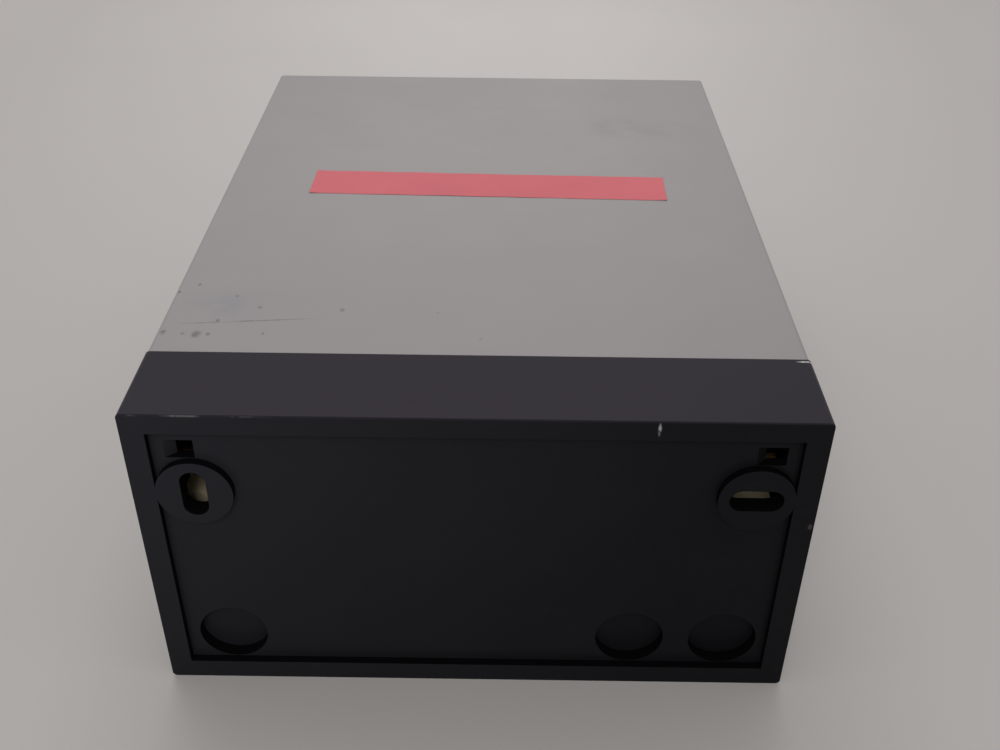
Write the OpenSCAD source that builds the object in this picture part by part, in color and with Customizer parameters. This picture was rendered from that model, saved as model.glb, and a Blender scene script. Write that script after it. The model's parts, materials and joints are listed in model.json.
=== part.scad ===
// Bench pH meter in a painted sleeve, with a clipped rear housing that also hangs it on a wall.
// Frame: +Z up, front panel towards -Y, origin at the middle of the base. Millimetres.

/* [Case] */
// Overall width, across the rear housing
case_w = 180; // [178:1:190]
// Overall height, base to top of the rear housing
case_h = 96.5; // [96:0.5:102]
// Overall depth, front edge of the sleeve to the rear rim
case_d = 243; // [235:1:270]
// Radius of the long corners
corner_r = 1.4; // [1.2:0.1:3]
// Wall of the painted sleeve
sleeve_t = 2; // [1.6:0.1:2.2]
// Step from the rear housing in to the sleeve, at the sides and the top
sleeve_step = 0.3; // [0.1:0.1:0.5]
// Gap all round between pieces that slide into one another
fit_gap = 0.15; // [0.1:0.05:0.25]

/* [Rear housing] */
// Depth of the rear housing, rim to seam
rear_d = 28.5; // [26:0.5:34]
// Wall of the rear housing
rear_wall = 3; // [2.5:0.1:3.4]
// Width of the rim around the recess
rim_w = 6.3; // [5.8:0.1:7]
// Depth of the recess inside the rim
recess = 2.4; // [1.5:0.1:3]
// Thickness of the back plate
back_t = 3; // [2.5:0.1:3.5]
// Length of the lip that enters the sleeve
spigot_l = 6; // [4:0.5:8]
// Wall of that lip
spigot_t = 1.8; // [1.4:0.1:2]

/* [Wall slots] */
// Radius of the round bosses around the wall slots
boss_r = 10.2; // [9.6:0.1:10.6]
// Distance of the boss centres below the top
boss_drop = 25.9; // [25.9:0.2:30]
// Width of a wall slot
slot_w = 6.8; // [5:0.2:7.2]
// Length of a wall slot, end to end
slot_l = 14.4; // [12:0.2:16]

/* [Hooks] */
// Distance of a hook window's middle outwards from the slot below it
window_shift = 2.7; // [1.9:0.1:3.3]
// Width of the open part of a window
window_w = 5.1; // [4.6:0.1:5.4]
// Height of a window
window_h = 5.7; // [5:0.1:5.7]
// Width of the sloping lead-in beside a window
ramp_w = 2.6; // [2:0.1:3]
// Thickness of a hook's arm
hook_t = 2; // [1.6:0.1:2.2]
// Height of a hook's barb
barb = 1.8; // [1.4:0.1:2.2]

/* [Knockouts] */
// Radius of a cable knockout
knockout_r = 9.8; // [8:0.1:10]
// Depth of a knockout below the recess floor
knockout_depth = 3.7; // [3:0.1:4.5]
// Distances of the knockouts from the end walls of the recess
knockout_inset = [13.3, 39.3, 12.4];
// Web left at the bottom of a knockout
knockout_web = 1; // [0.8:0.1:1.4]

/* [Front] */
// How far the panel lies inside the front edge of the sleeve
panel_set = 3; // [2.4:0.1:4]
// Thickness of the front panel
panel_t = 2; // [1.5:0.1:2.5]
// Width of the black frame that shows around the panel
bezel_w = 2.5; // [2:0.1:2.6]
// Thickness of the frame's skirt around the panel
skirt_t = 1.2; // [1:0.1:1.4]
// Height of the lower row of controls above the base
row_z = 20; // [20:0.2:20.6]
// Distance of the tie rods from the top and the bottom inside the sleeve
rod_inset = 12.5; // [12:0.5:13]

/* [Meter] */
// Width of the meter case around its window
meter_border = 5; // [4:0.5:6]
// Distance of the meter case from the tie rods
meter_rod_gap = 7.05; // [6:0.05:10]
// Distance of the meter case from the selector's middle
meter_selector_gap = 33; // [32:0.5:36]
// Distance of the window above the needle pivot
window_lift = 2; // [1.5:0.5:4]
// Distance of the window below the inside of the sleeve
window_drop = 6.2; // [5.6:0.2:9]
// Height of the needle pivot above the base
pivot_z = 40; // [40:0.5:41]
// Depth of the meter case behind the panel
meter_d = 32; // [30:1:40]
// Wall of the meter case
meter_wall = 1.5; // [1.2:0.1:2]
// Gap between the needle's tip and the top of the window
needle_gap = 8; // [7:0.5:12]
// Radius of the zero adjuster's spindle
adjuster_r = 3.1; // [2.8:0.1:3.2]
// Distance of the dial plate behind the panel
dial_set = 8; // [7.5:0.5:10]

/* [Controls] */
// Radius of the three small knobs
knob_r = 9.5; // [9:0.1:10.5]
// Height of the small knobs
knob_h = 13; // [12:0.5:15]
// Radius of the selector knob's skirt
selector_r = 15; // [14:0.5:17]
// Height of the selector knob
selector_h = 16; // [15:0.5:18]
// Radius of a control shaft
shaft_r = 3; // [2.5:0.1:3.2]
// Running clearance around a shaft
shaft_gap = 0.05; // [0.03:0.01:0.08]
// Radius of the threaded bushings
bush_r = 4.75; // [4.4:0.05:5]
// Spacing of the small knobs
knob_pitch = 28; // [24:0.5:28]
// Distance of the selector from the nearer tie rods
selector_inset = 34.05; // [33:0.05:36]
// Height of the selector above the base
selector_z = 63; // [61:0.5:64]
// Radius of a potentiometer body
pot_r = 8; // [7:0.1:8.5]
// Depth of a potentiometer body
pot_l = 9; // [8:0.5:12]

/* [Sockets] */
// Outer radius of the bayonet socket
bnc_r = 4.8; // [4.7:0.05:4.85]
// Length of the bayonet socket in front of the panel
bnc_l = 14; // [13:0.5:15]
// Spacing of the two pin sockets
jack_pitch = 14; // [13:0.5:14.5]
// Bore radius of the pin sockets
jack_r = 2; // [1.9:0.05:2.1]

/* [Label] */
// Distance of the label's middle to the right of the middle of the case
label_x = -0.9; // [-20:0.1:20]
// Length of the tape label on top
label_l = 122.4; // [80:0.2:140]
// Width of the tape label
label_w = 18.2; // [12:0.2:24]
// Distance of the label's middle in front of the middle of the case
label_y = 14.7; // [0:0.1:30]
// Turn of the label, in degrees
label_turn = -1.2; // [-5:0.2:5]
// Thickness of the tape label
label_t = 0.25; // [0.2:0.05:0.4]

/* [Inside] */
// Thickness of the chassis sheet
sheet_t = 1.2; // [1:0.1:1.5]
// Radius of the tie rods
rod_r = 3; // [2.6:0.1:3.2]
// Height of the standoffs under the main board
standoff_h = 8; // [6:0.5:10]
// Thickness of the circuit boards
board_t = 1.6; // [1.2:0.1:2]
// Radius of a battery cell
cell_r = 7.2; // [7:0.05:7.3]
// Length of a battery cell
cell_l = 50; // [49:0.1:50.2]

/* [Hidden] */
$fn = 48;
eps = 0.01;
cut = 1; // how far a cutting shape runs past the face that it cuts

// planes from front to back
y_front = -case_d / 2;
y_rear = case_d / 2;
y_seam = y_rear - rear_d;
y_floor = y_rear - recess;
y_in = y_floor - back_t;
y_panel = y_front + panel_set;
y_behind = y_panel + panel_t;
y_bulk = y_seam - spigot_l - 2.5;

// sleeve and what slides into it
sleeve_w = case_w - 2 * sleeve_step;
sleeve_h = case_h - sleeve_step;
in_w = sleeve_w - 2 * sleeve_t;
in_h = sleeve_h - 2 * sleeve_t;
in_z0 = sleeve_t;
in_z1 = sleeve_t + in_h;
sleeve_z = sleeve_h / 2;
inner_r = 0.6;
panel_w = in_w - 2 * (fit_gap + skirt_t + fit_gap);
panel_h = in_h - 2 * (fit_gap + skirt_t + fit_gap);
bezel_set = 0.5; // bezel behind the front edge of the sleeve
bezel_r = 1.2;
y_skirt = y_behind + 5;
y_ear = y_skirt + 0.5;

// rear housing
recess_w = case_w - 2 * rim_w;
boss_x = recess_w / 2 - boss_r + 0.2;
boss_z = case_h - boss_drop;
window_x = boss_x + window_shift;
window_z = boss_z + boss_r + 0.1 + window_h / 2;
hook_z = window_z + window_h / 2 + 0.2;
knockout_z = rim_w + 0.2 + knockout_r;
knockout_x = [recess_w / 2 - knockout_inset[0], knockout_inset[1] - recess_w / 2,
              knockout_inset[2] - recess_w / 2];
knockout_wall = 1.6;
spigot_root = 4;
hook_play = 0.2;
y_barb = y_bulk - 0.3;
barb_flat = 0.9;
barb_l = 2.3;

// chassis, rods and screws
bulk_w = in_w - 2;
bulk_z1 = in_z1 - 1;
rod_x = in_w / 2 - fit_gap - bezel_w - 0.5 - 2.5;
rod_z = [in_z0 + rod_inset, in_z1 - rod_inset];
screw_r = 1.5; // bore of a threaded hole
shank_r = screw_r - 0.1;
pass_r = screw_r + 0.1;
screw_l = 10;
tap_l = 9;
head_r = 2.5;
head_h = 2;
driver_w = 0.8;
driver_d = 0.9;
sink_t = 1.5;
sink_lip = 0.1;
ear_w = 11;
ear_rise = 5;
floor_z = in_z0 + sheet_t;
base_screw_y = [y_front + 31.5, y_bulk - 24.5];
insert_r = 3;
insert_h = 4;

// controls, from the left edge of the panel to the right
rocker_x = 14.05 - rod_x;
knob_x = [for (i = [0:2]) rocker_x + 24 + i * knob_pitch];
selector_x = rod_x - selector_inset;
jack_x = [rod_x - 10.05 - jack_pitch, rod_x - 10.05];
bnc_x = jack_x[0] - 16;
nut_t = 2.2;
nut_r = 6.4;
washer_t = 0.5;
washer_r = nut_r + 0.3;
knob_lift = 1;
skirt_h = 2.4;
flute_n = 20;
flute_r = 0.8;
cap_t = 1;
cap_rise = 0.2;
cap_inset = 2.5;
pointer_w = 1.2;
bush_l = 5;
nut_room_r = nut_r + 0.8;
nut_room_h = bush_l + 0.6;
collar_r = shaft_r + 1.5;
shaft_top = 3.2; // a shaft's end below the knob's top
shaft_back = 6;

// meter
meter_x0 = meter_rod_gap - rod_x;
meter_x1 = selector_x - meter_selector_gap;
meter_x = (meter_x0 + meter_x1) / 2;
meter_case_w = meter_x1 - meter_x0;
meter_case_z0 = pivot_z - 9;
meter_case_z1 = in_z1 - 3;
meter_case_h = meter_case_z1 - meter_case_z0;
meter_mid_z = (meter_case_z0 + meter_case_z1) / 2;
window_z0 = pivot_z + window_lift;
window_z1 = in_z1 - window_drop;
window_meter_w = meter_case_w - 2 * meter_border;
window_meter_h = window_z1 - window_z0;
meter_z = (window_z0 + window_z1) / 2;
needle_l = window_z1 - needle_gap - pivot_z;
flange_t = 1.5;
y_dial = y_behind + dial_set;
dial_t = 0.8;
bridge_t = 1.2;
bridge_w = 26;
y_bridge = y_behind + flange_t + 0.2;
y_needle = y_bridge + bridge_t + 2;
hub_r = 1.6;
needle_w = 1.8;
needle_tail = 4.6;
y_coil = y_dial + 6;
core_l = 8;
core_r = 6;
ring_in = 10;
ring_out = 14.5;
coil_gap = 0.6;
coil_t = 1;
coil_w = 3;
y_coil_front = y_coil - coil_gap - coil_t;
y_coil_back = y_coil + core_l + coil_gap;
staff_r = 0.6;
staff_gap = 0.06;
adjuster_z = pivot_z - 5;
adjuster_pin_r = 1.2;
adjuster_foot_r = 2.2;
y_cup = y_behind + meter_d - meter_wall;
lens_inset = meter_wall + fit_gap;

// main board
board_w = 2 * (rod_x - rod_r - 4.05);
board_y0 = -78;
board_y1 = 32;
board_z = floor_z + standoff_h;
board_top = board_z + board_t;
post_x = board_w / 2 - 7;
post_y = [board_y0 + 7, board_y1 - 7];
post_r = 3;

// shield and header on the main board
can_x = bnc_x;
can_y = -56;
can_w = 42;
can_l = 30;
can_h = 14;
can_t = 0.6;
header_x = -40;
header_y = board_y1 - 10;
header_w = 26;
header_h = 8;

// smaller parts on the main board
chip_w = 6.4;
chip_h = 3.4;
chips = [[-20, board_y0 + 18, 20], [-20, board_y0 + 34, 10],
         [-52, board_y0 + 18, 20], [-52, board_y0 + 38, 10]];
leg_pitch = 2.54;
capacitor_r = 5;
capacitor_h = 14;
capacitor_at = [[-58, header_y - 22], [-44, header_y - 22], [-58, header_y - 8]];
trimmer = [9.5, 4.8, 9.8];
trimmer_pitch = 12;

// battery holder and terminals behind the bulkhead
bay_gap = 0.15;
bay_wall = 1.1;
bay = 2 * (cell_r + bay_gap) + bay_wall;
bay_l = cell_l + 3.8;
bay_x = cell_l / 2 + 2.5;
spring_l = 1.8;
nub_l = 1.2;
nub_r = 2.6;
holder_w = 2 * (cell_l + 5) + 2;
holder_h = 3 * bay + 2;
holder_d = 2 * cell_r + 2.4;
holder_z0 = bulk_z1 - 9.8 - holder_h;
y_holder = y_bulk + sheet_t;
y_terminal = y_bulk + sheet_t + 9.3;
terminal_x = [28, holder_w / 2 + 4, rod_x + 1.95];
terminal_z = [8, holder_z0 - 4, holder_z0 + 32];
spacer_x = (terminal_x[1] + terminal_x[2]) / 2 - 6;
spacer_z = terminal_z[1] - 4;
column_x = (terminal_x[1] + terminal_x[2]) / 2;
pole = 5.08;
terminal_block_h = 11;
terminal_block_d = 9;
spacer_r = 3;
stud_r = 1.5;

// ---- shapes that repeat ----

// Rounded rectangle around the origin
module outline(w, h, r) {
  square([w - 2 * r, h], center = true);
  square([w, h - 2 * r], center = true);
  for (sx = [-1, 1], sz = [-1, 1]) translate([sx * (w / 2 - r), sz * (h / 2 - r)]) circle(r);
}

// Upright rounded plate between two planes
module plate(w, h, r, y0, y1, x = 0, z = 0) {
  translate([x, y1, z]) rotate([90, 0, 0]) linear_extrude(y1 - y0) outline(w, h, r);
}

// Round bar along Y
module bar(r, y0, y1, x = 0, z = 0) {
  translate([x, y1, z]) rotate([90, 0, 0]) cylinder(r = r, h = y1 - y0);
}

// Box between two corners
module block(x0, x1, y0, y1, z0, z1) {
  translate([x0, y0, z0]) cube([x1 - x0, y1 - y0, z1 - z0]);
}

// Slot with round ends, standing or lying
module slot(x, z, y0, y1, upright) {
  translate([x, y1, z]) rotate([90, 0, 0]) rotate(upright ? 90 : 0) linear_extrude(y1 - y0) {
    square([slot_l - slot_w, slot_w], center = true);
    for (s = [-1, 1]) translate([s * (slot_l - slot_w) / 2, 0]) circle(slot_w / 2);
  }
}

// Puts children on the panel: their +Z points out of it and their Z 0 is its front face
module on_panel(x, z) {
  translate([x, y_panel, z]) rotate([90, 0, 0]) children();
}

// Cheese-head screw with a driver slot, its head's seat at Z 0 and its shank down
module screw(shank_l) {
  difference() {
    union() {
      cylinder(r = head_r, h = head_h);
      translate([0, 0, -shank_l]) cylinder(r = shank_r, h = shank_l + eps);
    }
    translate([-head_r - cut, -driver_w / 2, head_h - driver_d]) cube([2 * (head_r + cut), driver_w, 2]);
  }
}

// ---- case ----

module case_sleeve() color([0.62, 0.62, 0.6]) difference() {
  plate(sleeve_w, sleeve_h, corner_r, y_front, y_seam, 0, sleeve_z);
  plate(in_w, in_h, inner_r, y_front - cut, y_seam + cut, 0, sleeve_z);
  for (y = base_screw_y) translate([0, y, 0]) {
    cylinder(r = pass_r, h = 2 * sleeve_t);
    translate([0, 0, -eps]) cylinder(r1 = head_r + 0.6, r2 = pass_r, h = sink_t);
  }
}

module rear_shell() difference() {
  plate(case_w, case_h, corner_r, y_seam, y_rear, 0, case_h / 2);
  plate(case_w - 2 * rear_wall, case_h - 2 * rear_wall, inner_r, y_seam - cut, y_in, 0, case_h / 2);
  block(-recess_w / 2, recess_w / 2, y_floor, y_rear + cut, rim_w, case_h - rim_w);
}

module spigot() difference() {
  plate(in_w - 2 * fit_gap, in_h - 2 * fit_gap, inner_r,
        y_seam - spigot_l, y_seam + spigot_root, 0, sleeve_z);
  plate(in_w - 2 * (fit_gap + spigot_t), in_h - 2 * (fit_gap + spigot_t), inner_r,
        y_seam - spigot_l - cut, y_seam + spigot_root + cut, 0, sleeve_z);
}

// Window and its sloping lead-in; s is the side of the case
module hook_window(s) {
  x0 = s * window_x - (window_w + ramp_w) / 2;
  block(x0, x0 + window_w, y_in - cut, y_floor + cut, window_z - window_h / 2, window_z + window_h / 2);
  translate([0, 0, window_z - window_h / 2]) linear_extrude(window_h)
    polygon([[x0 + window_w - eps, y_floor + cut], [x0 + window_w + ramp_w, y_floor + cut],
             [x0 + window_w + ramp_w, y_floor], [x0 + window_w - eps, y_floor - 0.75 * back_t]]);
}

module hook(s) {
  x0 = s * window_x - (window_w + ramp_w) / 2 + hook_play;
  x1 = x0 + window_w - 2 * hook_play;
  block(x0, x1, y_barb - barb_l, y_in + eps, hook_z, hook_z + hook_t);
  translate([x0, 0, 0]) rotate([90, 0, 90]) linear_extrude(x1 - x0)
    polygon([[y_barb, hook_z + eps], [y_barb, hook_z - barb], [y_barb - barb_flat, hook_z - barb],
             [y_barb - barb_l, hook_z + eps]]);
}

module rear_housing() color([0.1, 0.1, 0.11]) difference() {
  union() {
    rear_shell();
    spigot();
    for (s = [-1, 1]) {
      bar(boss_r, y_in, y_rear, s * boss_x, boss_z);
      hook(s);
    }
    for (x = knockout_x)
      bar(knockout_r + knockout_wall, y_floor - knockout_depth - knockout_web, y_in + eps, x, knockout_z);
  }
  slot(boss_x, boss_z, y_in - cut, y_rear + cut, true);
  slot(-boss_x, boss_z, y_in - cut, y_rear + cut, false);
  for (s = [-1, 1]) hook_window(s);
  for (x = knockout_x) bar(knockout_r, y_floor - knockout_depth, y_floor + cut, x, knockout_z);
}

module label_tape() color([0.85, 0.4, 0.45])
  translate([label_x, -label_y, sleeve_h]) rotate(label_turn)
    translate([-label_l / 2, -label_w / 2, 0]) cube([label_l, label_w, label_t]);

module front_bezel() color([0.1, 0.1, 0.11]) difference() {
  plate(in_w - 2 * fit_gap, in_h - 2 * fit_gap, inner_r, y_front + bezel_set, y_skirt, 0, sleeve_z);
  plate(in_w - 2 * (fit_gap + bezel_w), in_h - 2 * (fit_gap + bezel_w), bezel_r, y_front - cut,
        y_panel + cut, 0, sleeve_z);
  plate(in_w - 2 * (fit_gap + skirt_t), in_h - 2 * (fit_gap + skirt_t), inner_r, y_panel,
        y_skirt + cut, 0, sleeve_z);
}

module front_panel() color([0.82, 0.82, 0.79]) difference() {
  plate(panel_w, panel_h, inner_r, y_panel, y_behind, 0, sleeve_z);
  plate(window_meter_w, window_meter_h, 2, y_panel - cut, y_behind + cut, meter_x, meter_z);
  bar(adjuster_r + shaft_gap, y_panel - cut, y_behind + cut, meter_x, adjuster_z);
  for (x = knob_x) bar(bush_r + fit_gap, y_panel - cut, y_behind + cut, x, row_z);
  bar(bush_r + fit_gap, y_panel - cut, y_behind + cut, selector_x, selector_z);
  bar(bnc_r + fit_gap, y_panel - cut, y_behind + cut, bnc_x, row_z);
  for (x = jack_x) bar(jack_neck_r + fit_gap, y_panel - cut, y_behind + cut, x, row_z);
  block(rocker_x - rocker_hole_w / 2, rocker_x + rocker_hole_w / 2, y_panel - cut, y_behind + cut,
        row_z - rocker_hole_h / 2, row_z + rocker_hole_h / 2);
  for (s = [-1, 1], z = rod_z) bar(pass_r, y_panel - cut, y_behind + cut, s * rod_x, z);
}

// ---- chassis ----

module chassis() color([0.72, 0.62, 0.36]) difference() {
  union() {
    block(-bulk_w / 2, bulk_w / 2, y_ear, y_bulk + sheet_t, in_z0, floor_z);
    block(-bulk_w / 2, bulk_w / 2, y_bulk, y_bulk + sheet_t, in_z0, bulk_z1);
    for (s = [-1, 1])
      block(s * rod_x - ear_w / 2, s * rod_x + ear_w / 2, y_ear, y_ear + sheet_t,
            in_z0, rod_z[0] + ear_rise);
    for (y = base_screw_y) translate([0, y, in_z0]) cylinder(r = insert_r, h = sheet_t + insert_h);
  }
  for (y = base_screw_y) translate([0, y, in_z0 - cut])
    cylinder(r = screw_r, h = sheet_t + insert_h + 2 * cut);
  for (s = [-1, 1]) {
    bar(rod_r + 0.1, y_ear - cut, y_ear + sheet_t + cut, s * rod_x, rod_z[0]);
    for (z = rod_z) bar(pass_r, y_bulk - cut, y_bulk + sheet_t + cut, s * rod_x, z);
    x0 = s * window_x - (window_w + ramp_w) / 2;
    block(x0 - 0.2, x0 + window_w + 0.2, y_bulk - cut, y_bulk + sheet_t + cut, hook_z - barb / 2,
          hook_z + hook_t + 0.6);
  }
  block(header_x - ribbon_w / 2 - 3, header_x + ribbon_w / 2 + 3, y_bulk - cut, y_bulk + sheet_t + cut,
        ribbon_z1 - 7, ribbon_z1 + 9);
}

module tie_rods() color([0.75, 0.75, 0.76]) for (s = [-1, 1], z = rod_z) difference() {
  bar(rod_r, y_behind, y_bulk, s * rod_x, z);
  bar(screw_r, y_behind - cut, y_behind + tap_l, s * rod_x, z);
  bar(screw_r, y_bulk - tap_l, y_bulk + cut, s * rod_x, z);
}

module rod_screws() color([0.8, 0.8, 0.8]) for (s = [-1, 1], z = rod_z) {
  on_panel(s * rod_x, z) screw(screw_l);
  translate([s * rod_x, y_bulk + sheet_t, z]) rotate([-90, 0, 0]) screw(screw_l);
}

// Countersunk screws that hold the chassis down in the sleeve
module base_screws() color([0.8, 0.8, 0.8]) for (y = base_screw_y) translate([0, y, sink_lip]) difference() {
  union() {
    cylinder(r1 = head_r + 0.4, r2 = shank_r, h = sink_t - sink_lip);
    cylinder(r = shank_r, h = sleeve_t + sheet_t + insert_h - 1);
  }
  translate([-head_r - cut, -driver_w / 2, -cut]) cube([2 * (head_r + cut), driver_w, cut + 0.6]);
}

// ---- moving-coil meter ----

module meter_case() color([0.16, 0.16, 0.17]) {
  difference() {
    plate(meter_case_w, meter_case_h, 2, y_behind, y_behind + meter_d, meter_x, meter_mid_z);
    plate(meter_case_w - 2 * meter_wall, meter_case_h - 2 * meter_wall, 1, y_behind - cut, y_cup,
          meter_x, meter_mid_z);
  }
  difference() {
    bar(3, y_coil_back + 4, y_cup + eps, meter_x, pivot_z);
    bar(staff_r + staff_gap, y_coil_back, y_coil_back + 7, meter_x, pivot_z);
  }
  for (s = [-1, 1]) translate([meter_x + s * (meter_case_w / 2 - meter_wall), 0, meter_mid_z])
    block(-2, 2, y_dial + dial_t, y_cup + eps, -2, 2);
}

module meter_lens() color([0.85, 0.9, 0.92, 0.4]) difference() {
  union() {
    plate(window_meter_w - 2 * fit_gap, window_meter_h - 2 * fit_gap, 1.8, y_panel + 0.2, y_behind + eps,
          meter_x, meter_z);
    plate(meter_case_w - 2 * lens_inset, meter_case_h - 2 * lens_inset, 1, y_behind, y_behind + flange_t,
          meter_x, meter_mid_z);
  }
  bar(adjuster_pin_r + shaft_gap, y_behind - cut, y_behind + flange_t + cut, meter_x, adjuster_z);
}

module dial_plate() color([0.93, 0.92, 0.86]) difference() {
  plate(meter_case_w - 2 * lens_inset, meter_case_h - 2 * lens_inset, 1, y_dial, y_dial + dial_t,
        meter_x, meter_mid_z);
  bar(2.4, y_dial - cut, y_dial + dial_t + cut, meter_x, pivot_z);
}

// Ring magnet with an iron core held by a web that the coil never reaches
module meter_yoke() color([0.5, 0.5, 0.52]) {
  difference() {
    bar(ring_out, y_coil, y_coil + core_l, meter_x, pivot_z);
    bar(ring_in, y_coil - cut, y_coil + core_l + cut, meter_x, pivot_z);
    block(meter_x - ring_out - cut, meter_x + ring_out + cut, y_coil - cut, y_coil + core_l + cut,
          pivot_z - ring_out - cut, meter_case_z0 + meter_wall + 0.3);
  }
  bar(core_r, y_coil, y_coil + core_l, meter_x, pivot_z);
  translate([meter_x, 0, pivot_z]) block(-1.2, 1.2, y_coil, y_coil + core_l, core_r - 0.3, ring_in + 0.3);
  for (s = [-1, 1])
    bar(1.5, y_coil + core_l - eps, y_cup, meter_x + s * (ring_in + ring_out) / 2, pivot_z + 2);
}

module pivot_bridge() color([0.8, 0.68, 0.35]) difference() {
  union() {
    translate([meter_x, 0, pivot_z])
      block(-bridge_w / 2, bridge_w / 2, y_bridge, y_bridge + bridge_t, -2.2, 1.6);
    for (s = [-1, 1])
      bar(1.2, y_bridge + bridge_t - eps, y_dial, meter_x + s * (bridge_w / 2 - 2), pivot_z - 0.4);
  }
  bar(staff_r + staff_gap, y_bridge - cut, y_bridge + bridge_t + cut, meter_x, pivot_z);
}

module meter_needle() color([0.08, 0.08, 0.08]) {
  bar(hub_r, y_needle - 1.2, y_needle + 1, meter_x, pivot_z);
  bar(staff_r, y_bridge + 0.2, y_coil_front, meter_x, pivot_z);
  translate([meter_x, y_needle + 0.3, pivot_z]) rotate([90, 0, 0]) linear_extrude(0.5)
    polygon([[-needle_w / 2, 0], [-needle_w / 6, needle_l * 0.8], [-0.12, needle_l], [0.12, needle_l],
             [needle_w / 6, needle_l * 0.8], [needle_w / 2, 0], [1.1, -needle_tail], [-1.1, -needle_tail]]);
}

// Wound frame that swings in the gap between magnet and core
module meter_coil() color([0.72, 0.38, 0.2]) translate([meter_x, 0, pivot_z]) {
  mid = (core_r + ring_in) / 2;
  for (s = [-1, 1])
    block(s * mid - 0.7, s * mid + 0.7, y_coil_front, y_coil_back + coil_t, -coil_w / 2, coil_w / 2);
  for (y = [y_coil_front, y_coil_back]) block(-mid, mid, y, y + coil_t, -coil_w / 2, coil_w / 2);
  bar(staff_r, y_coil_back + coil_t - eps, y_coil_back + 6.5);
}

// Slotted head, the spindle in the panel, and a thin pin riveted over behind the lens
module zero_adjuster() color([0.12, 0.12, 0.13]) on_panel(meter_x, adjuster_z) difference() {
  union() {
    translate([0, 0, 0.3]) cylinder(r = adjuster_r + 0.9, h = 1);
    translate([0, 0, 0.1 - panel_t]) cylinder(r = adjuster_r, h = panel_t + 0.2 + eps);
    translate([0, 0, -panel_t - flange_t - 0.3]) cylinder(r = adjuster_pin_r, h = flange_t + 0.4 + eps);
    translate([0, 0, -panel_t - flange_t - 0.8]) cylinder(r = adjuster_foot_r, h = 0.6);
  }
  translate([-adjuster_r - 2, -0.45, 0.7]) cube([2 * adjuster_r + 4, 0.9, 2]);
}

// ---- rotary controls ----

// Outline of a knob with flutes round its edge
module fluted(r) difference() {
  circle(r);
  for (i = [1:flute_n]) rotate((i + 0.5) * 360 / flute_n) translate([r + 0.35, 0]) circle(flute_r);
}

// Fluted knob on a skirt, with a hollow underside, a shaft hole and a pointer groove
module small_knob(x) color([0.09, 0.09, 0.1]) on_panel(x, row_z) difference() {
  union() {
    translate([0, 0, knob_lift]) cylinder(r = knob_r + 1, h = skirt_h);
    translate([0, 0, knob_lift + skirt_h - eps]) linear_extrude(knob_h - skirt_h + eps) fluted(knob_r);
  }
  translate([0, 0, knob_lift - cut]) cylinder(r = nut_room_r, h = nut_room_h - knob_lift + cut);
  cylinder(r = shaft_r + 0.02, h = knob_lift + knob_h - shaft_top + 0.2);
  translate([0, 0, knob_lift + knob_h - cap_t]) cylinder(r = knob_r - cap_inset + 0.1, h = cap_t + cut);
  translate([-pointer_w / 2, knob_r - 2.6, knob_lift + knob_h - 0.5]) cube([pointer_w, 6, 1]);
}

module small_cap(x) color([0.55, 0.56, 0.57]) on_panel(x, row_z)
  translate([0, 0, knob_lift + knob_h - cap_t]) difference() {
    cylinder(r = knob_r - cap_inset, h = cap_t + cap_rise);
    translate([-0.5, 1.5, cap_t - 0.2]) cube([1, knob_r, 1]);
  }

module small_shaft(x) color([0.8, 0.8, 0.8]) on_panel(x, row_z) translate([0, 0, -panel_t - shaft_back]) {
  cylinder(r = shaft_r, h = knob_lift + knob_h - shaft_top + panel_t + shaft_back);
  translate([0, 0, -1]) cylinder(r = collar_r, h = 1 + eps);
}

module small_pot(x) color([0.45, 0.42, 0.36]) on_panel(x, row_z) difference() {
  union() {
    translate([0, 0, -panel_t - pot_l]) cylinder(r = pot_r, h = pot_l);
    translate([0, 0, -panel_t - eps]) cylinder(r = bush_r, h = bush_l + panel_t + eps);
    for (i = [-1:1]) translate([i * 5 - 1, -pot_r - 4, -panel_t - 4]) cube([2, 8, 0.8]);
  }
  translate([0, 0, -panel_t - shaft_back - 1.4]) cylinder(r = collar_r + 0.2, h = 1.8);
  translate([0, 0, -panel_t - shaft_back])
    cylinder(r = shaft_r + shaft_gap, h = shaft_back + panel_t + bush_l + cut);
}

module nut(x, z) on_panel(x, z) difference() {
  union() {
    cylinder(r = washer_r, h = washer_t);
    translate([0, 0, washer_t - eps]) cylinder(r = nut_r, h = nut_t, $fn = 6);
  }
  translate([0, 0, -cut]) cylinder(r = bush_r + 0.1, h = nut_t + 3);
}

module control_nuts() color([0.78, 0.78, 0.79]) {
  for (x = knob_x) nut(x, row_z);
  nut(selector_x, selector_z);
}

module temperature_knob() small_knob(knob_x[0]);
module temperature_knob_cap() small_cap(knob_x[0]);
module temperature_shaft() small_shaft(knob_x[0]);
module temperature_pot() small_pot(knob_x[0]);
module buffer_knob() small_knob(knob_x[1]);
module buffer_knob_cap() small_cap(knob_x[1]);
module buffer_shaft() small_shaft(knob_x[1]);
module buffer_pot() small_pot(knob_x[1]);
module slope_knob() small_knob(knob_x[2]);
module slope_knob_cap() small_cap(knob_x[2]);
module slope_shaft() small_shaft(knob_x[2]);
module slope_pot() small_pot(knob_x[2]);

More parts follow.
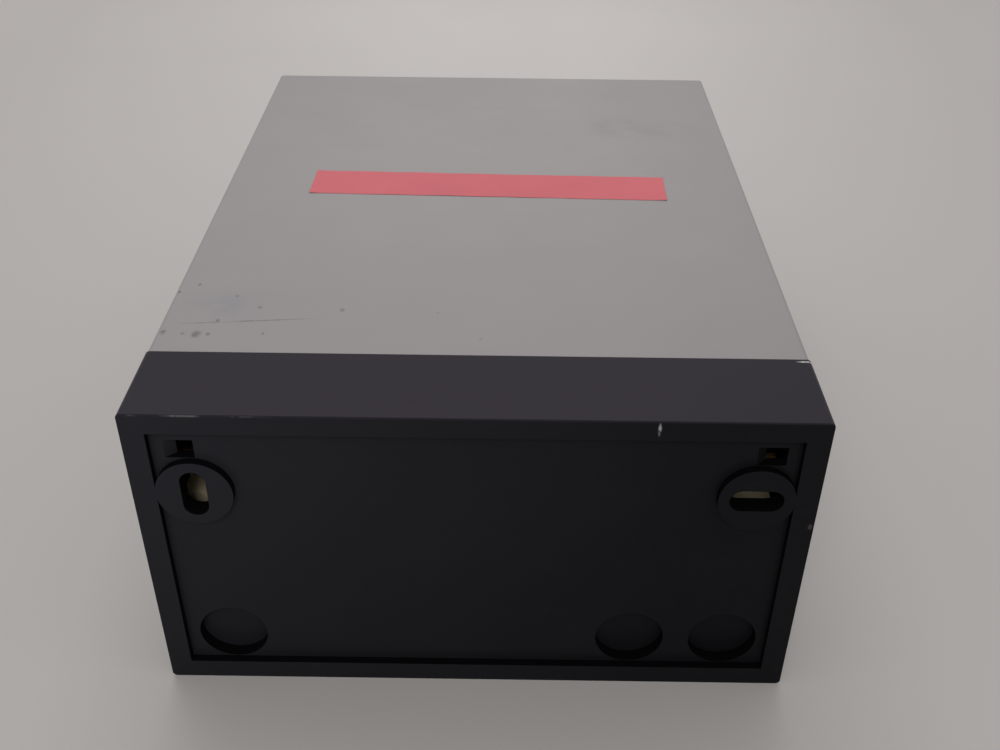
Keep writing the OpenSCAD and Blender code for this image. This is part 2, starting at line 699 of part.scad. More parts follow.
// Round skirt with a raised finger bar that points at the range
grip_w = 8;
cap_l = 2 * selector_r - 10;
module mode_knob() color([0.09, 0.09, 0.1]) on_panel(selector_x, selector_z) difference() {
  union() {
    translate([0, 0, knob_lift]) cylinder(r1 = selector_r, r2 = selector_r - 1.2, h = 5);
    intersection() {
      translate([0, 0, knob_lift]) cylinder(r1 = selector_r - 0.6, r2 = selector_r - 1.6, h = selector_h);
      translate([-grip_w / 2, -selector_r, knob_lift]) cube([grip_w, 2 * selector_r, selector_h]);
    }
  }
  translate([0, 0, knob_lift - cut]) cylinder(r = nut_room_r, h = nut_room_h - knob_lift + cut);
  cylinder(r = shaft_r + 0.02, h = knob_lift + selector_h - shaft_top + 0.2);
  translate([1 - grip_w / 2, -cap_l / 2, knob_lift + selector_h - cap_t])
    cube([grip_w - 2, cap_l, cap_t + cut]);
  translate([-pointer_w / 2, selector_r - 4.6, knob_lift + selector_h - 0.6]) cube([pointer_w, 8, 1]);
}

module mode_knob_cap() color([0.55, 0.56, 0.57]) on_panel(selector_x, selector_z)
  translate([1.1 - grip_w / 2, 0.1 - cap_l / 2, knob_lift + selector_h - cap_t])
    cube([grip_w - 2.2, cap_l - 0.2, cap_t + cap_rise]);

wafer_z = [-14, -24];
index_r = 13;
index_l = 6;
wafer_rod_x = 10.5;
wafer_rod_r = 1.3;

module mode_shaft() color([0.8, 0.8, 0.8]) on_panel(selector_x, selector_z) {
  translate([0, 0, wafer_z[1] - 4])
    cylinder(r = shaft_r, h = knob_lift + selector_h - shaft_top - wafer_z[1] + 4);
  translate([0, 0, -panel_t - index_l - 1.5]) cylinder(r = collar_r, h = 1.2);
}

// Index housing, its bushing, and the two screws that carry the wafers
module mode_switch() color([0.7, 0.7, 0.7]) on_panel(selector_x, selector_z) difference() {
  union() {
    translate([0, 0, -panel_t - index_l]) cylinder(r = index_r, h = index_l);
    translate([0, 0, -panel_t - eps]) cylinder(r = bush_r, h = bush_l + panel_t + eps);
    for (s = [-1, 1]) translate([s * wafer_rod_x, 0, wafer_z[1] - 3])
      cylinder(r = wafer_rod_r, h = -wafer_z[1] - panel_t - 2);
  }
  translate([0, 0, -panel_t - index_l - cut])
    cylinder(r = shaft_r + shaft_gap, h = index_l + panel_t + bush_l + 2 * cut);
}

module switch_wafers() color([0.62, 0.45, 0.25]) on_panel(selector_x, selector_z)
  for (z = wafer_z) translate([0, 0, z]) difference() {
    union() {
      cylinder(r = index_r, h = board_t);
      for (i = [0:11]) rotate(i * 30 + 15) translate([index_r - 1, -0.8, 0.4]) cube([4, 1.6, 0.8]);
    }
    translate([0, 0, -cut]) cylinder(r = shaft_r + 0.3, h = board_t + 2 * cut);
    for (s = [-1, 1]) translate([s * wafer_rod_x, 0, -cut])
      cylinder(r = wafer_rod_r + 0.05, h = board_t + 2 * cut);
  }

// ---- power switch and sockets ----

rocker_w = 10;
rocker_h = 15.6;
rocker_tilt = 10;
rocker_lip = 1.4;
rocker_hole_w = 13;
rocker_hole_h = 19;
pin_r = 1;
pin_l = 11.6;
y_switch = y_behind + 13;

module rocker_housing() color([0.12, 0.12, 0.13]) difference() {
  union() {
    plate(rocker_hole_w + 2, rocker_hole_h + 2, 1, y_panel - rocker_lip, y_panel, rocker_x, row_z);
    translate([rocker_x, 0, row_z]) {
      block(0.2 - rocker_hole_w / 2, rocker_hole_w / 2 - 0.2, y_panel - eps, y_switch,
            0.2 - rocker_hole_h / 2, rocker_hole_h / 2 - 0.2);
      for (i = [-1:1]) block(-2.4, 2.4, y_switch - eps, y_switch + 7, i * 6.5 - 0.4, i * 6.5 + 0.4);
    }
  }
  translate([rocker_x, 0, row_z])
    block(-rocker_w / 2 - 0.3, rocker_w / 2 + 0.3, y_panel - rocker_lip - cut, y_behind + 8,
          -rocker_h / 2 - 0.5, rocker_h / 2 + 0.5);
  translate([rocker_x - pin_l / 2 - 0.1, y_behind, row_z]) rotate([0, 90, 0])
    cylinder(r = pin_r + shaft_gap, h = pin_l + 0.2);
}

// Paddle, tipped to its off side with the lower end in, and its pivot pin
module power_rocker() color([0.6, 0.08, 0.06]) {
  translate([rocker_x - pin_l / 2, y_behind, row_z]) rotate([0, 90, 0]) cylinder(r = pin_r, h = pin_l);
  translate([rocker_x - rocker_w / 2, y_behind, row_z]) rotate([rocker_tilt, 0, 0]) rotate([90, 0, 90])
    linear_extrude(rocker_w)
      polygon([[2.4, -3], [2.4, 3], [-1.2, rocker_h / 2 - 0.3], [-4.6, rocker_h / 2 - 0.5], [-3.4, 0],
               [-4.6, -rocker_h / 2 + 0.5], [-1.2, -rocker_h / 2 + 0.3]]);
}

bnc_tail = 10;
bnc_wall = 0.65;
bnc_hex_r = 7.4;
bnc_hex_t = 1.6;
lug_r = 1;
lug_reach = 5.5;
mouth_l = 3.5; // the part ahead of the bayonet lugs, at the full radius
barrel_r = bnc_r - 0.25;
insulator_r = 2.55;
contact_r = 1.05;

module bnc_shell() color([0.78, 0.78, 0.79]) on_panel(bnc_x, row_z) difference() {
  union() {
    translate([0, 0, -bnc_tail]) cylinder(r = barrel_r, h = bnc_tail + bnc_l - mouth_l + eps);
    translate([0, 0, bnc_l - mouth_l]) cylinder(r = bnc_r, h = mouth_l);
    cylinder(r = bnc_hex_r, h = bnc_hex_t, $fn = 6);
    translate([0, lug_reach, bnc_l - mouth_l - lug_r - 0.1]) rotate([90, 0, 0])
      cylinder(r = lug_r, h = 2 * lug_reach);
  }
  translate([0, 0, 1]) cylinder(r = barrel_r - bnc_wall, h = bnc_l + cut);
  translate([0, 0, -bnc_tail - cut]) cylinder(r = insulator_r + 0.05, h = bnc_tail + 1 + 2 * cut);
}

module bnc_insulator() color([0.93, 0.93, 0.9]) on_panel(bnc_x, row_z) difference() {
  union() {
    translate([0, 0, -bnc_tail - 1.5]) cylinder(r = insulator_r, h = bnc_tail + 2.5 + eps);
    translate([0, 0, 1]) cylinder(r = barrel_r - bnc_wall - 0.05, h = 2);
    translate([0, 0, 3 - eps]) cylinder(r = insulator_r - 0.2, h = bnc_l - 7.5);
  }
  translate([0, 0, -bnc_tail - 2 - cut]) cylinder(r = contact_r + 0.05, h = bnc_tail + bnc_l + 2 * cut);
}

module bnc_contact() color([0.85, 0.68, 0.3]) on_panel(bnc_x, row_z) difference() {
  translate([0, 0, -bnc_tail - 5]) cylinder(r = contact_r, h = bnc_tail + bnc_l - 0.5);
  translate([0, 0, 3]) cylinder(r = 0.6, h = bnc_l);
}

module bnc_nut() color([0.78, 0.78, 0.79]) on_panel(bnc_x, row_z) difference() {
  translate([0, 0, -panel_t - 2.8]) cylinder(r = bnc_hex_r, h = 2.8, $fn = 6);
  translate([0, 0, -panel_t - 2.8 - cut]) cylinder(r = barrel_r + 0.05, h = 2.8 + 2 * cut);
}

collar_flange_r = 5.6;
collar_flange_t = 4;
jack_neck_r = 4;
jack_wall = 1;
jack_tail = 20;
jack_floor = 5;
jack_hex_r = 5.4;
jack_hex_t = 2.4;

module jack_collars() color([0.7, 0.1, 0.08]) for (x = jack_x) on_panel(x, row_z) difference() {
  union() {
    cylinder(r = collar_flange_r, h = collar_flange_t);
    translate([0, 0, -panel_t - 3]) cylinder(r = jack_neck_r, h = panel_t + 3 + eps);
  }
  translate([0, 0, -jack_tail]) cylinder(r = jack_r + jack_wall + 0.05, h = 2 * jack_tail);
}

module jack_sockets() color([0.85, 0.68, 0.3]) for (x = jack_x) on_panel(x, row_z) difference() {
  union() {
    translate([0, 0, -jack_tail]) cylinder(r = jack_r + jack_wall, h = jack_tail + collar_flange_t - 0.4);
    translate([0, 0, -panel_t - 3 - jack_hex_t]) cylinder(r = jack_hex_r, h = jack_hex_t, $fn = 6);
  }
  translate([0, 0, jack_floor - jack_tail]) cylinder(r = jack_r, h = jack_tail);
}

// ---- main board ----

module main_board() color([0.12, 0.35, 0.2]) difference() {
  block(-board_w / 2, board_w / 2, board_y0, board_y1, board_z, board_top);
  for (s = [-1, 1], y = post_y) translate([s * post_x, y, board_z - cut])
    cylinder(r = pass_r + 0.1, h = board_t + 2 * cut);
}

module board_standoffs() color([0.8, 0.68, 0.35]) for (s = [-1, 1], y = post_y)
  translate([s * post_x, y, floor_z]) difference() {
    cylinder(r = post_r, h = standoff_h);
    translate([0, 0, standoff_h - 6]) cylinder(r = screw_r, h = 7);
  }

module board_screws() color([0.8, 0.8, 0.8]) for (s = [-1, 1], y = post_y)
  translate([s * post_x, y, board_top]) screw(board_t + 5);

module shield_can() color([0.75, 0.75, 0.74]) translate([can_x, can_y, board_top]) difference() {
  translate([-can_w / 2, -can_l / 2, 0]) cube([can_w, can_l, can_h]);
  translate([can_t - can_w / 2, can_t - can_l / 2, -cut])
    cube([can_w - 2 * can_t, can_l - 2 * can_t, can_h - can_t + cut]);
  for (i = [-1:1]) translate([i * 10, 0, 2]) cylinder(r = 2, h = can_h);
  translate([0, -can_l / 2 - cut, can_h / 2]) rotate([-90, 0, 0]) cylinder(r = 2.2, h = can_t + 2 * cut);
}

// Dual in-line packages with their two rows of legs; each entry gives the middle and the length
module board_chips() color([0.1, 0.1, 0.1]) for (p = chips) translate([p[0], p[1], board_top]) {
  translate([-p[2] / 2, -chip_w / 2, 0.8]) cube([p[2], chip_w, chip_h]);
  for (i = [0:p[2] / leg_pitch - 1], s = [-1, 1])
    translate([1 - p[2] / 2 + i * leg_pitch, s * (chip_w / 2 + 0.3) - 0.3, 0]) cube([0.6, 0.6, 2.6]);
}

module capacitors() color([0.15, 0.22, 0.45]) for (p = capacitor_at) translate([p[0], p[1], board_top])
  difference() {
    cylinder(r = capacitor_r, h = capacitor_h);
    translate([-capacitor_r - cut, -0.2, capacitor_h - 0.4]) cube([2 * (capacitor_r + cut), 0.4, 1]);
  }

module trimmers() color([0.15, 0.35, 0.7]) for (i = [0:2])
  translate([2 + i * trimmer_pitch, can_y + can_l + 6, board_top]) difference() {
    union() {
      cube(trimmer);
      translate([2, 2.4, trimmer[2] - eps]) cylinder(r = 1.4, h = 1.2);
    }
    translate([0, 2.2, trimmer[2] + 0.6]) cube([4, 0.5, 1]);
  }

module board_header() color([0.12, 0.12, 0.13]) translate([header_x, header_y, board_top])
  block(-header_w / 2, header_w / 2, -3, 3, 0, header_h);

// Flat cable from the header through the bulkhead to the terminal board
ribbon_t = 1;
ribbon_w = 22;
ribbon_z0 = board_top + header_h;
ribbon_z1 = 19;
ribbon_y0 = header_y - 2;
ribbon_steps = 20;
function ribbon_z(t) = ribbon_z0 + 6 * sin(180 * t) + (ribbon_z1 - ribbon_z0) * t * t * (3 - 2 * t);
module ribbon_cable() color([0.65, 0.65, 0.66])
  translate([header_x - ribbon_w / 2, 0, 0]) rotate([90, 0, 90]) linear_extrude(ribbon_w)
    polygon(concat([for (i = [0:ribbon_steps]) let (t = i / ribbon_steps)
                      [ribbon_y0 + t * (y_terminal - ribbon_y0), ribbon_z(t)]],
                   [for (i = [ribbon_steps:-1:0]) let (t = i / ribbon_steps)
                      [ribbon_y0 + t * (y_terminal - ribbon_y0), ribbon_z(t) + ribbon_t]]));

// Screened lead from the bayonet socket to the shield can
lead_r = 1.4;
lead_sides = 10;
y_tail = y_panel + bnc_tail + 5;
y_can = can_y - can_l / 2;
lead_path = [
  [bnc_x, y_tail, row_z], [bnc_x, y_tail + 3, row_z], [bnc_x, y_tail + 7, row_z + 0.4],
  [bnc_x, y_tail + 11, row_z + 1.2], [bnc_x, y_tail + 15, row_z + 1.9],
  [can_x, y_can - 12, board_top + 8.6], [can_x, y_can - 8, board_top + 7.8],
  [can_x, y_can - 4, board_top + 7.2], [can_x, y_can, board_top + can_h / 2]
];
function unit(v) = v / norm(v);
function along(p, i) = unit(p[min(i + 1, len(p) - 1)] - p[max(i - 1, 0)]);
function ring(p, i, r, n) = let (d = along(p, i), a = unit(cross(d, [1, 0, 0])), b = cross(d, a))
  [for (k = [0:n - 1]) p[i] + r * (cos(360 * k / n) * a + sin(360 * k / n) * b)];

module tube(p, r, n) {
  m = len(p);
  points = [for (i = [0:m - 1]) each ring(p, i, r, n)];
  sides = [for (i = [0:m - 2], k = [0:n - 1])
             [i * n + k, i * n + (k + 1) % n, (i + 1) * n + (k + 1) % n, (i + 1) * n + k]];
  polyhedron(points, concat([[for (k = [n - 1:-1:0]) k]], sides, [[for (k = [0:n - 1]) (m - 1) * n + k]]));
}

module input_lead() color([0.1, 0.1, 0.1]) tube(lead_path, lead_r, lead_sides);

// ---- batteries and terminals ----

module each_bay() for (i = [0:2], s = [-1, 1])
  translate([s * bay_x, y_holder + holder_d / 2 + 0.8, holder_z0 + 1 + bay * (i + 0.5)])
    rotate(180 * (i % 2)) children();

module battery_holder() color([0.12, 0.12, 0.13]) difference() {
  block(-holder_w / 2, holder_w / 2, y_holder, y_holder + holder_d, holder_z0, holder_z0 + holder_h);
  for (i = [0:2], s = [-1, 1])
    translate([s * bay_x - bay_l / 2, y_holder + holder_d / 2 + 0.8, holder_z0 + 1 + bay * (i + 0.5)]) {
      rotate([0, 90, 0]) cylinder(r = cell_r + bay_gap, h = bay_l);
      translate([0, 0, 1.5 - cell_r]) cube([bay_l, holder_d, 2 * cell_r - 3]);
    }
}

module battery_cells() color([0.75, 0.6, 0.2]) each_bay() {
  translate([-cell_l / 2, 0, 0]) rotate([0, 90, 0]) cylinder(r = cell_r, h = cell_l - nub_l);
  translate([cell_l / 2 - nub_l - eps, 0, 0]) rotate([0, 90, 0]) cylinder(r = nub_r, h = nub_l);
}

module battery_springs() color([0.8, 0.8, 0.8]) each_bay()
  translate([-cell_l / 2 - spring_l, 0, 0]) rotate([0, 90, 0])
    cylinder(r1 = 4.6, r2 = nub_r, h = spring_l - 0.1);

// Two upright boards beside the battery holder, each with a foot towards the middle
module terminal_board() color([0.7, 0.55, 0.33]) for (s = [0, 1]) mirror([s, 0, 0]) difference() {
  union() {
    block(terminal_x[0], terminal_x[2], y_terminal, y_terminal + board_t, terminal_z[0], terminal_z[1]);
    block(terminal_x[1], terminal_x[2], y_terminal, y_terminal + board_t, terminal_z[0], terminal_z[2]);
  }
  bar(stud_r + 0.2, y_terminal - cut, y_terminal + board_t + cut, spacer_x, spacer_z);
}

module terminal_spacers() color([0.8, 0.68, 0.35]) for (s = [-1, 1]) {
  bar(spacer_r, y_bulk + sheet_t, y_terminal, s * spacer_x, spacer_z);
  bar(stud_r, y_terminal - eps, y_terminal + board_t + 2, s * spacer_x, spacer_z);
}

// Screw terminals; each entry gives the middle, the lower edge and the number of poles
module terminal_blocks() color([0.88, 0.86, 0.78])
  for (s = [-1, 1], p = [[terminal_x[0] + 16, 9, 5], [column_x, terminal_z[2] - 19, 4]])
    translate([s * p[0] - p[2] * pole / 2, y_terminal + board_t, p[1]]) difference() {
      cube([p[2] * pole, terminal_block_d, terminal_block_h]);
      for (i = [0:p[2] - 1]) {
        bar(1.7, terminal_block_d - 3, terminal_block_d + cut, (i + 0.5) * pole, terminal_block_h / 2);
        translate([(i + 0.5) * pole - 1.3, 2, -cut]) cube([2.6, 3.4, 4 + cut]);
      }
    }

case_sleeve();
rear_housing();
label_tape();
front_bezel();
front_panel();
chassis();
tie_rods();
rod_screws();
base_screws();
meter_case();
meter_lens();
dial_plate();
meter_yoke();
pivot_bridge();
meter_needle();
meter_coil();
zero_adjuster();
mode_knob();
mode_knob_cap();
mode_shaft();
mode_switch();
switch_wafers();
temperature_knob();
temperature_knob_cap();
temperature_shaft();
temperature_pot();
buffer_knob();
buffer_knob_cap();
buffer_shaft();
buffer_pot();
slope_knob();
slope_knob_cap();
slope_shaft();
slope_pot();
control_nuts();
rocker_housing();
power_rocker();
bnc_shell();
bnc_insulator();
bnc_contact();
bnc_nut();
jack_collars();
jack_sockets();
main_board();
board_standoffs();
board_screws();
shield_can();
board_chips();
capacitors();
trimmers();
board_header();
ribbon_cable();
input_lead();
battery_holder();
battery_cells();
battery_springs();
terminal_board();
terminal_blocks();
terminal_spacers();
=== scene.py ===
# %% [markdown]
# # A bench pH meter, seen from behind
#
# The real object is a small laboratory instrument: a grey painted sleeve, a black moulded rear housing
# that also hangs it on a wall, and a front panel with a moving-coil meter, knobs and sockets. Every piece
# is already there at its real size as a CAD node. This lesson gives each one its finish, rounds the edges
# that a hand can feel, and adds what CAD leaves out: prints, the label tape's waves, pointers and marks.

# %% Load the fixed frame
import json
from math import atan2, cos, radians, sin

import bmesh
import bpy
from mathutils import Matrix, Vector
from mathutils.bvhtree import BVHTree

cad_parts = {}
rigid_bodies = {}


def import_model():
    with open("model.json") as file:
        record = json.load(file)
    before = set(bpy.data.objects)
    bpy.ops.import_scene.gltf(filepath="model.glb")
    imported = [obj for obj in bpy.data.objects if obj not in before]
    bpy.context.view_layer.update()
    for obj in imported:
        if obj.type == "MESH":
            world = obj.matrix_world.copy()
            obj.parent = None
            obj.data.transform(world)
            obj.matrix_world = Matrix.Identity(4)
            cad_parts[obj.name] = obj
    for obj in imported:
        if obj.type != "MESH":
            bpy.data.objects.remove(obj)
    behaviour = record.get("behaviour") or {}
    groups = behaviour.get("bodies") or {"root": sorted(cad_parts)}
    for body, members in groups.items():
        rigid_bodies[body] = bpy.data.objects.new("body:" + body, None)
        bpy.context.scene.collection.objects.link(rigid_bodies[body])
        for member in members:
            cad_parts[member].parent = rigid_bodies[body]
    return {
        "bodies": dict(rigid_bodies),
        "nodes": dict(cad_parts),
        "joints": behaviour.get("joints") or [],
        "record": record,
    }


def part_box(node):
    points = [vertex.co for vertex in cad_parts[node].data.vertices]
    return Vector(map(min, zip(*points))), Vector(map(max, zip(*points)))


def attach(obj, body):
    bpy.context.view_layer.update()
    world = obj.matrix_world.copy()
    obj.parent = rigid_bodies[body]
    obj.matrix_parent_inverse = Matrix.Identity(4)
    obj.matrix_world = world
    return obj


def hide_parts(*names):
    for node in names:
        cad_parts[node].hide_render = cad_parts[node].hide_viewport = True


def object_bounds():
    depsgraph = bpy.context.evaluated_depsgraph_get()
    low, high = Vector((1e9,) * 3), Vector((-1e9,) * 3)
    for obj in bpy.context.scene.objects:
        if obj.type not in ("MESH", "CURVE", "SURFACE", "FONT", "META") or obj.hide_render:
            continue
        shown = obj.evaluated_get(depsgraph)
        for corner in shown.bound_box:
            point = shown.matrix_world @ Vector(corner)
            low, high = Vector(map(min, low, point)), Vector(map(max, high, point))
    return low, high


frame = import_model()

MM = 0.001
CAD_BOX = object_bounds()
NODES = frame["nodes"]
SLOT_OF = {part["node"]: part["material_slot"] for part in frame["record"]["subparts"]}
BODY_OF = {node: body for body, nodes in frame["record"]["behaviour"]["bodies"].items() for node in nodes}
print("nodes:", len(NODES), "box:", CAD_BOX)

# %% [markdown]
# The photograph is 1000 by 750. These points are read from it: the outline, the corners that set the
# camera, and the small things on the surfaces. They are the only pixel numbers in the lesson.

# %% Image points
W, H = 1000, 750
POINTS = {
    "left_x": 117, "right_x": 834, "top_y": 75, "bottom_y": 680,
    "far_left": (283, 75), "far_right": (704, 84),
    "seam_left": (148, 353), "seam_right": (806, 360),
    "rear_left": (117, 417), "rear_right": (834, 426),
    "foot_left": (178, 672), "foot_right": (779, 679),
    "label": (488, 187),
    "upright_slot": (194, 493), "level_slot": (757, 500),
    "scratch": (248, 321), "scuffs": (196, 334), "smudge": (632, 128),
    "rim_nick": (660, 430), "edge_chip": (810, 527), "edge_rub": (172, 416), "seam_glint": (806, 362),
}

# %% [markdown]
# The camera looks down at the instrument's back from about the height of a standing person's phone. Its
# place and aim were fitted to the corners, so the shift stays zero. `to_track_quat` aims it, and a small
# turn about its own axis gives the slight roll of a picture taken by hand.

# %% Camera
CAMERA_AT = Vector((-0.00698, 0.34799, 0.26533))
CAMERA_AIM = Vector((-0.00576, 0.03176, 0.0481))
CAMERA_ROLL = radians(0.624)
LENS = 40.82
SENSOR = 36.0

camera_data = bpy.data.cameras.new("camera")
camera_data.lens = LENS
camera_data.sensor_width = SENSOR
camera_data.sensor_fit = "AUTO"
camera_data.clip_start = 0.01
camera = bpy.data.objects.new("camera", camera_data)
bpy.context.collection.objects.link(camera)
turn = (CAMERA_AIM - CAMERA_AT).to_track_quat("-Z", "Y").to_matrix().to_4x4()
camera.matrix_world = Matrix.Translation(CAMERA_AT) @ turn @ Matrix.Rotation(CAMERA_ROLL, 4, "Z")
bpy.context.scene.camera = camera
bpy.context.view_layer.update()
print("camera right:", camera.matrix_world.col[0].to_3d())

# %% [markdown]
# Two helpers tie the picture to space. `sight` turns an image point into a ray from the camera, and
# `in_picture` goes the other way. `place` finds where a ray meets the surface that carries a piece. When
# a ray misses, the place nearest to it is taken, found by stepping along the ray.

# %% Placing by the picture
LONG_SIDE = max(W, H)


def sight(point):
    x, y = point
    ray = Vector((x - W / 2 + camera_data.shift_x * LONG_SIDE,
                  H / 2 - y + camera_data.shift_y * LONG_SIDE,
                  -LONG_SIDE * LENS / SENSOR))
    return (camera.matrix_world.to_3x3() @ ray).normalized()


def in_picture(place):
    local = camera.matrix_world.inverted() @ place
    reach = LONG_SIDE * LENS / SENSOR / -local.z
    return Vector((local.x * reach + W / 2 - camera_data.shift_x * LONG_SIDE,
                   H / 2 - local.y * reach + camera_data.shift_y * LONG_SIDE))


def tree_of(item):
    seen = item.evaluated_get(bpy.context.evaluated_depsgraph_get())
    return BVHTree.FromPolygons([item.matrix_world @ v.co for v in seen.data.vertices],
                                [p.vertices for p in seen.data.polygons])


def place(point, tree):
    ray = sight(point)
    hit = tree.ray_cast(CAMERA_AT, ray)[0]
    if hit is None:
        steps = [CAMERA_AT + ray * (0.1 + 0.001 * i) for i in range(600)]
        hit = min((tree.find_nearest(step) for step in steps), key=lambda found: found[3])[0]
    return hit

# %% [markdown]
# A finish is a node material. `add` makes one node and wires it: a value that is a socket becomes a link,
# and anything else is typed into the socket. The small helpers after it are the words that every finish
# is written in: grain, levels, mixing, relief, and a soft round mark at a place.

# %% Words for finishes
FINISH = {}


def srgb(red, green, blue):
    def linear(value):
        part = value / 255
        return part / 12.92 if part <= 0.04045 else ((part + 0.055) / 1.055) ** 2.4
    return (linear(red), linear(green), linear(blue), 1.0)


def add(tree, kind, inputs=None, **settings):
    item = tree.nodes.new("ShaderNode" + kind)
    for name, value in settings.items():
        setattr(item, name, value)
    for key, value in (inputs or {}).items():
        if isinstance(value, bpy.types.NodeSocket):
            tree.links.new(value, item.inputs[key])
        else:
            item.inputs[key].default_value = value
    return item


def finish(name, **sockets):
    material = bpy.data.materials.new(name)
    material.use_nodes = True
    shader = material.node_tree.nodes["Principled BSDF"]
    for key, value in sockets.items():
        shader.inputs[key.replace("_", " ")].default_value = value
    FINISH[name] = material
    return material.node_tree, shader


def here(tree, at=(0, 0, 0), turn=(0, 0, 0), size=(1, 1, 1)):
    """Object coordinates, centred, turned and stretched."""
    spot = add(tree, "TexCoord").outputs["Object"]
    return add(tree, "Mapping", {"Vector": spot, "Location": at, "Rotation": turn, "Scale": size},
               vector_type="TEXTURE").outputs[0]


def grain(tree, scale, detail=3.0, rough=0.5, stretch=(1, 1, 1), twist=0.0):
    where = here(tree, size=stretch)
    return add(tree, "TexNoise", {"Vector": where, "Scale": scale, "Detail": detail, "Roughness": rough,
                                  "Distortion": twist}).outputs["Fac"]


def levels(tree, value, low, high, to_low=0.0, to_high=1.0):
    return add(tree, "MapRange", {"Value": value, "From Min": low, "From Max": high,
                                  "To Min": to_low, "To Max": to_high}).outputs[0]


def calc(tree, kind, first, second=0.5):
    return add(tree, "Math", {0: first, 1: second}, operation=kind, use_clamp=True).outputs[0]


def mix(tree, amount, first, second):
    return add(tree, "Mix", {0: amount, 6: first, 7: second}, data_type="RGBA").outputs[2]


def relief(tree, height, strength, depth, under=None):
    inputs = {"Height": height, "Strength": strength, "Distance": depth}
    if under:
        inputs["Normal"] = under
    return add(tree, "Bump", inputs).outputs[0]


def coordinate(tree, axis):
    return add(tree, "SeparateXYZ", {0: here(tree)}).outputs[axis]


def sideways(tree):
    """How far a place lies from the middle plane."""
    return add(tree, "Math", {0: coordinate(tree, "X")}, operation="ABSOLUTE").outputs[0]


def spot(tree, at, half, turn=(0, 0, 0)):
    """A soft mark: 1 at its middle, 0 where it ends."""
    where = here(tree, at, turn, half)
    return add(tree, "TexGradient", {"Vector": where}, gradient_type="SPHERICAL").outputs["Fac"]


def wear(tree, scale, low, high):
    """The bevelled edges, broken up as rubbing breaks them up."""
    edge = add(tree, "Attribute", attribute_name="worn").outputs["Fac"]
    return calc(tree, "MULTIPLY", edge, levels(tree, grain(tree, scale, 4), low, high))


def wire(tree, shader, **sockets):
    for key, value in sockets.items():
        tree.links.new(value, shader.inputs[key.replace("_", " ")])

# %% [markdown]
# CAD edges are razor sharp, and no real edge is: light catches the small round on every rim. `soften`
# copies a node's mesh, merges its loose triangles, and bevels each edge that turns more than 30 degrees.
# The faces that round an outer edge get an attribute named worn, which a finish can read to rub its
# paint off there. Those that fill a hollow corner get a second attribute, which marks them for painted shade.

# %% Rounding edges
CREASE = radians(30)


def merged(node):
    shape = bmesh.new()
    shape.from_mesh(NODES[node].data)
    bmesh.ops.remove_doubles(shape, verts=shape.verts, dist=2e-6)
    bmesh.ops.dissolve_limit(shape, angle_limit=radians(0.5), verts=shape.verts, edges=shape.edges)
    return shape


def layer(shape, name):
    return shape.faces.layers.float.get(name) or shape.faces.layers.float.new(name)


def in_hollow(face):
    """True where a rounding face's neighbours stand in front of it."""
    middle = face.calc_center_median()
    around = [other for edge in face.edges for other in edge.link_faces if other != face]
    return sum(face.normal.dot((other.calc_center_median() - middle).normalized()) for other in around) > 0


def bevel_sharp(shape, width, steps=2):
    for name in ("worn", "hollow_shade"):
        layer(shape, name)  # both are made before either is used, because a new layer moves the others
    worn, hollow_shade = layer(shape, "worn"), layer(shape, "hollow_shade")
    sharp = [edge for edge in shape.edges if edge.is_manifold and edge.calc_face_angle(0) > CREASE]
    made = bmesh.ops.bevel(shape, geom=sharp, offset=width, offset_type="OFFSET", segments=steps,
                           profile=0.5, affect="EDGES", clamp_overlap=True, material=-1)
    shape.normal_update()
    for face in made["faces"]:
        # A face in a hollow corner is marked for painted shade, and one on an outer edge for wear.
        hollow = in_hollow(face)
        face[worn], face[hollow_shade] = float(not hollow), float(hollow)
    many_sided = [face for face in shape.faces if len(face.verts) > 4]
    bmesh.ops.triangulate(shape, faces=many_sided, quad_method="BEAUTY", ngon_method="BEAUTY")


def to_piece(shape, name, slot, body="case", stands_for=(), rounded=True, finish_name=None):
    mesh = bpy.data.meshes.new(name)
    shape.to_mesh(mesh)
    shape.free()
    mesh.materials.append(FINISH[finish_name or slot])
    item = bpy.data.objects.new(name, mesh)
    bpy.context.collection.objects.link(item)
    if rounded:
        mesh.shade_smooth()
        item.modifiers.new("even_shading", "WEIGHTED_NORMAL")
    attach(item, body)
    if stands_for:
        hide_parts(*stands_for)
    return item


def soften(node, width):
    shape = merged(node)
    bevel_sharp(shape, width * MM)
    return to_piece(shape, node + "_soft", SLOT_OF[node], BODY_OF[node], [node])

# %% [markdown]
# First the plain finishes of the moulded and turned pieces. They share a few recipes: a moulding has a
# fine spark-eroded texture, a turned or plated metal has faint rings or streaks, and a laminate shows its
# weave. Each recipe takes a colour and sizes, so the pieces differ without repeating nodes by hand.

# %% Recipes


def moulding(name, colour, roughness=0.45, texture=0.12, scale=2600, edge=1.6):
    tree, shader = finish(name, Roughness=roughness)
    cloud = levels(tree, grain(tree, 60, 4), 0.3, 0.7)
    darker = tuple(0.82 * c for c in colour[:3]) + (1.0,)
    lighter = tuple(min(edge * c + 0.01, 0.9) for c in colour[:3]) + (1.0,)
    body = mix(tree, cloud, darker, colour)
    rubbed = mix(tree, wear(tree, 500, 0.45, 0.75), body, lighter)
    pores = grain(tree, scale, 2)
    wire(tree, shader, Base_Color=rubbed,
         Roughness=levels(tree, grain(tree, 180, 5), 0.3, 0.7, roughness - 0.06, roughness + 0.08),
         Normal=relief(tree, pores, texture, 0.0002))


def metal(name, colour, roughness=0.28, streak=(1, 1, 1), scale=300, dull=0.6):
    tree, shader = finish(name, Metallic=1.0, Roughness=roughness)
    cloud = levels(tree, grain(tree, 90, 5, 0.6), 0.35, 0.75)
    duller = tuple(dull * c for c in colour[:3]) + (1.0,)
    lines = grain(tree, scale, 3, stretch=streak)
    wire(tree, shader, Base_Color=mix(tree, cloud, colour, duller),
         Roughness=levels(tree, lines, 0.3, 0.7, roughness - 0.08, roughness + 0.12),
         Normal=relief(tree, lines, 0.15, 0.00005))


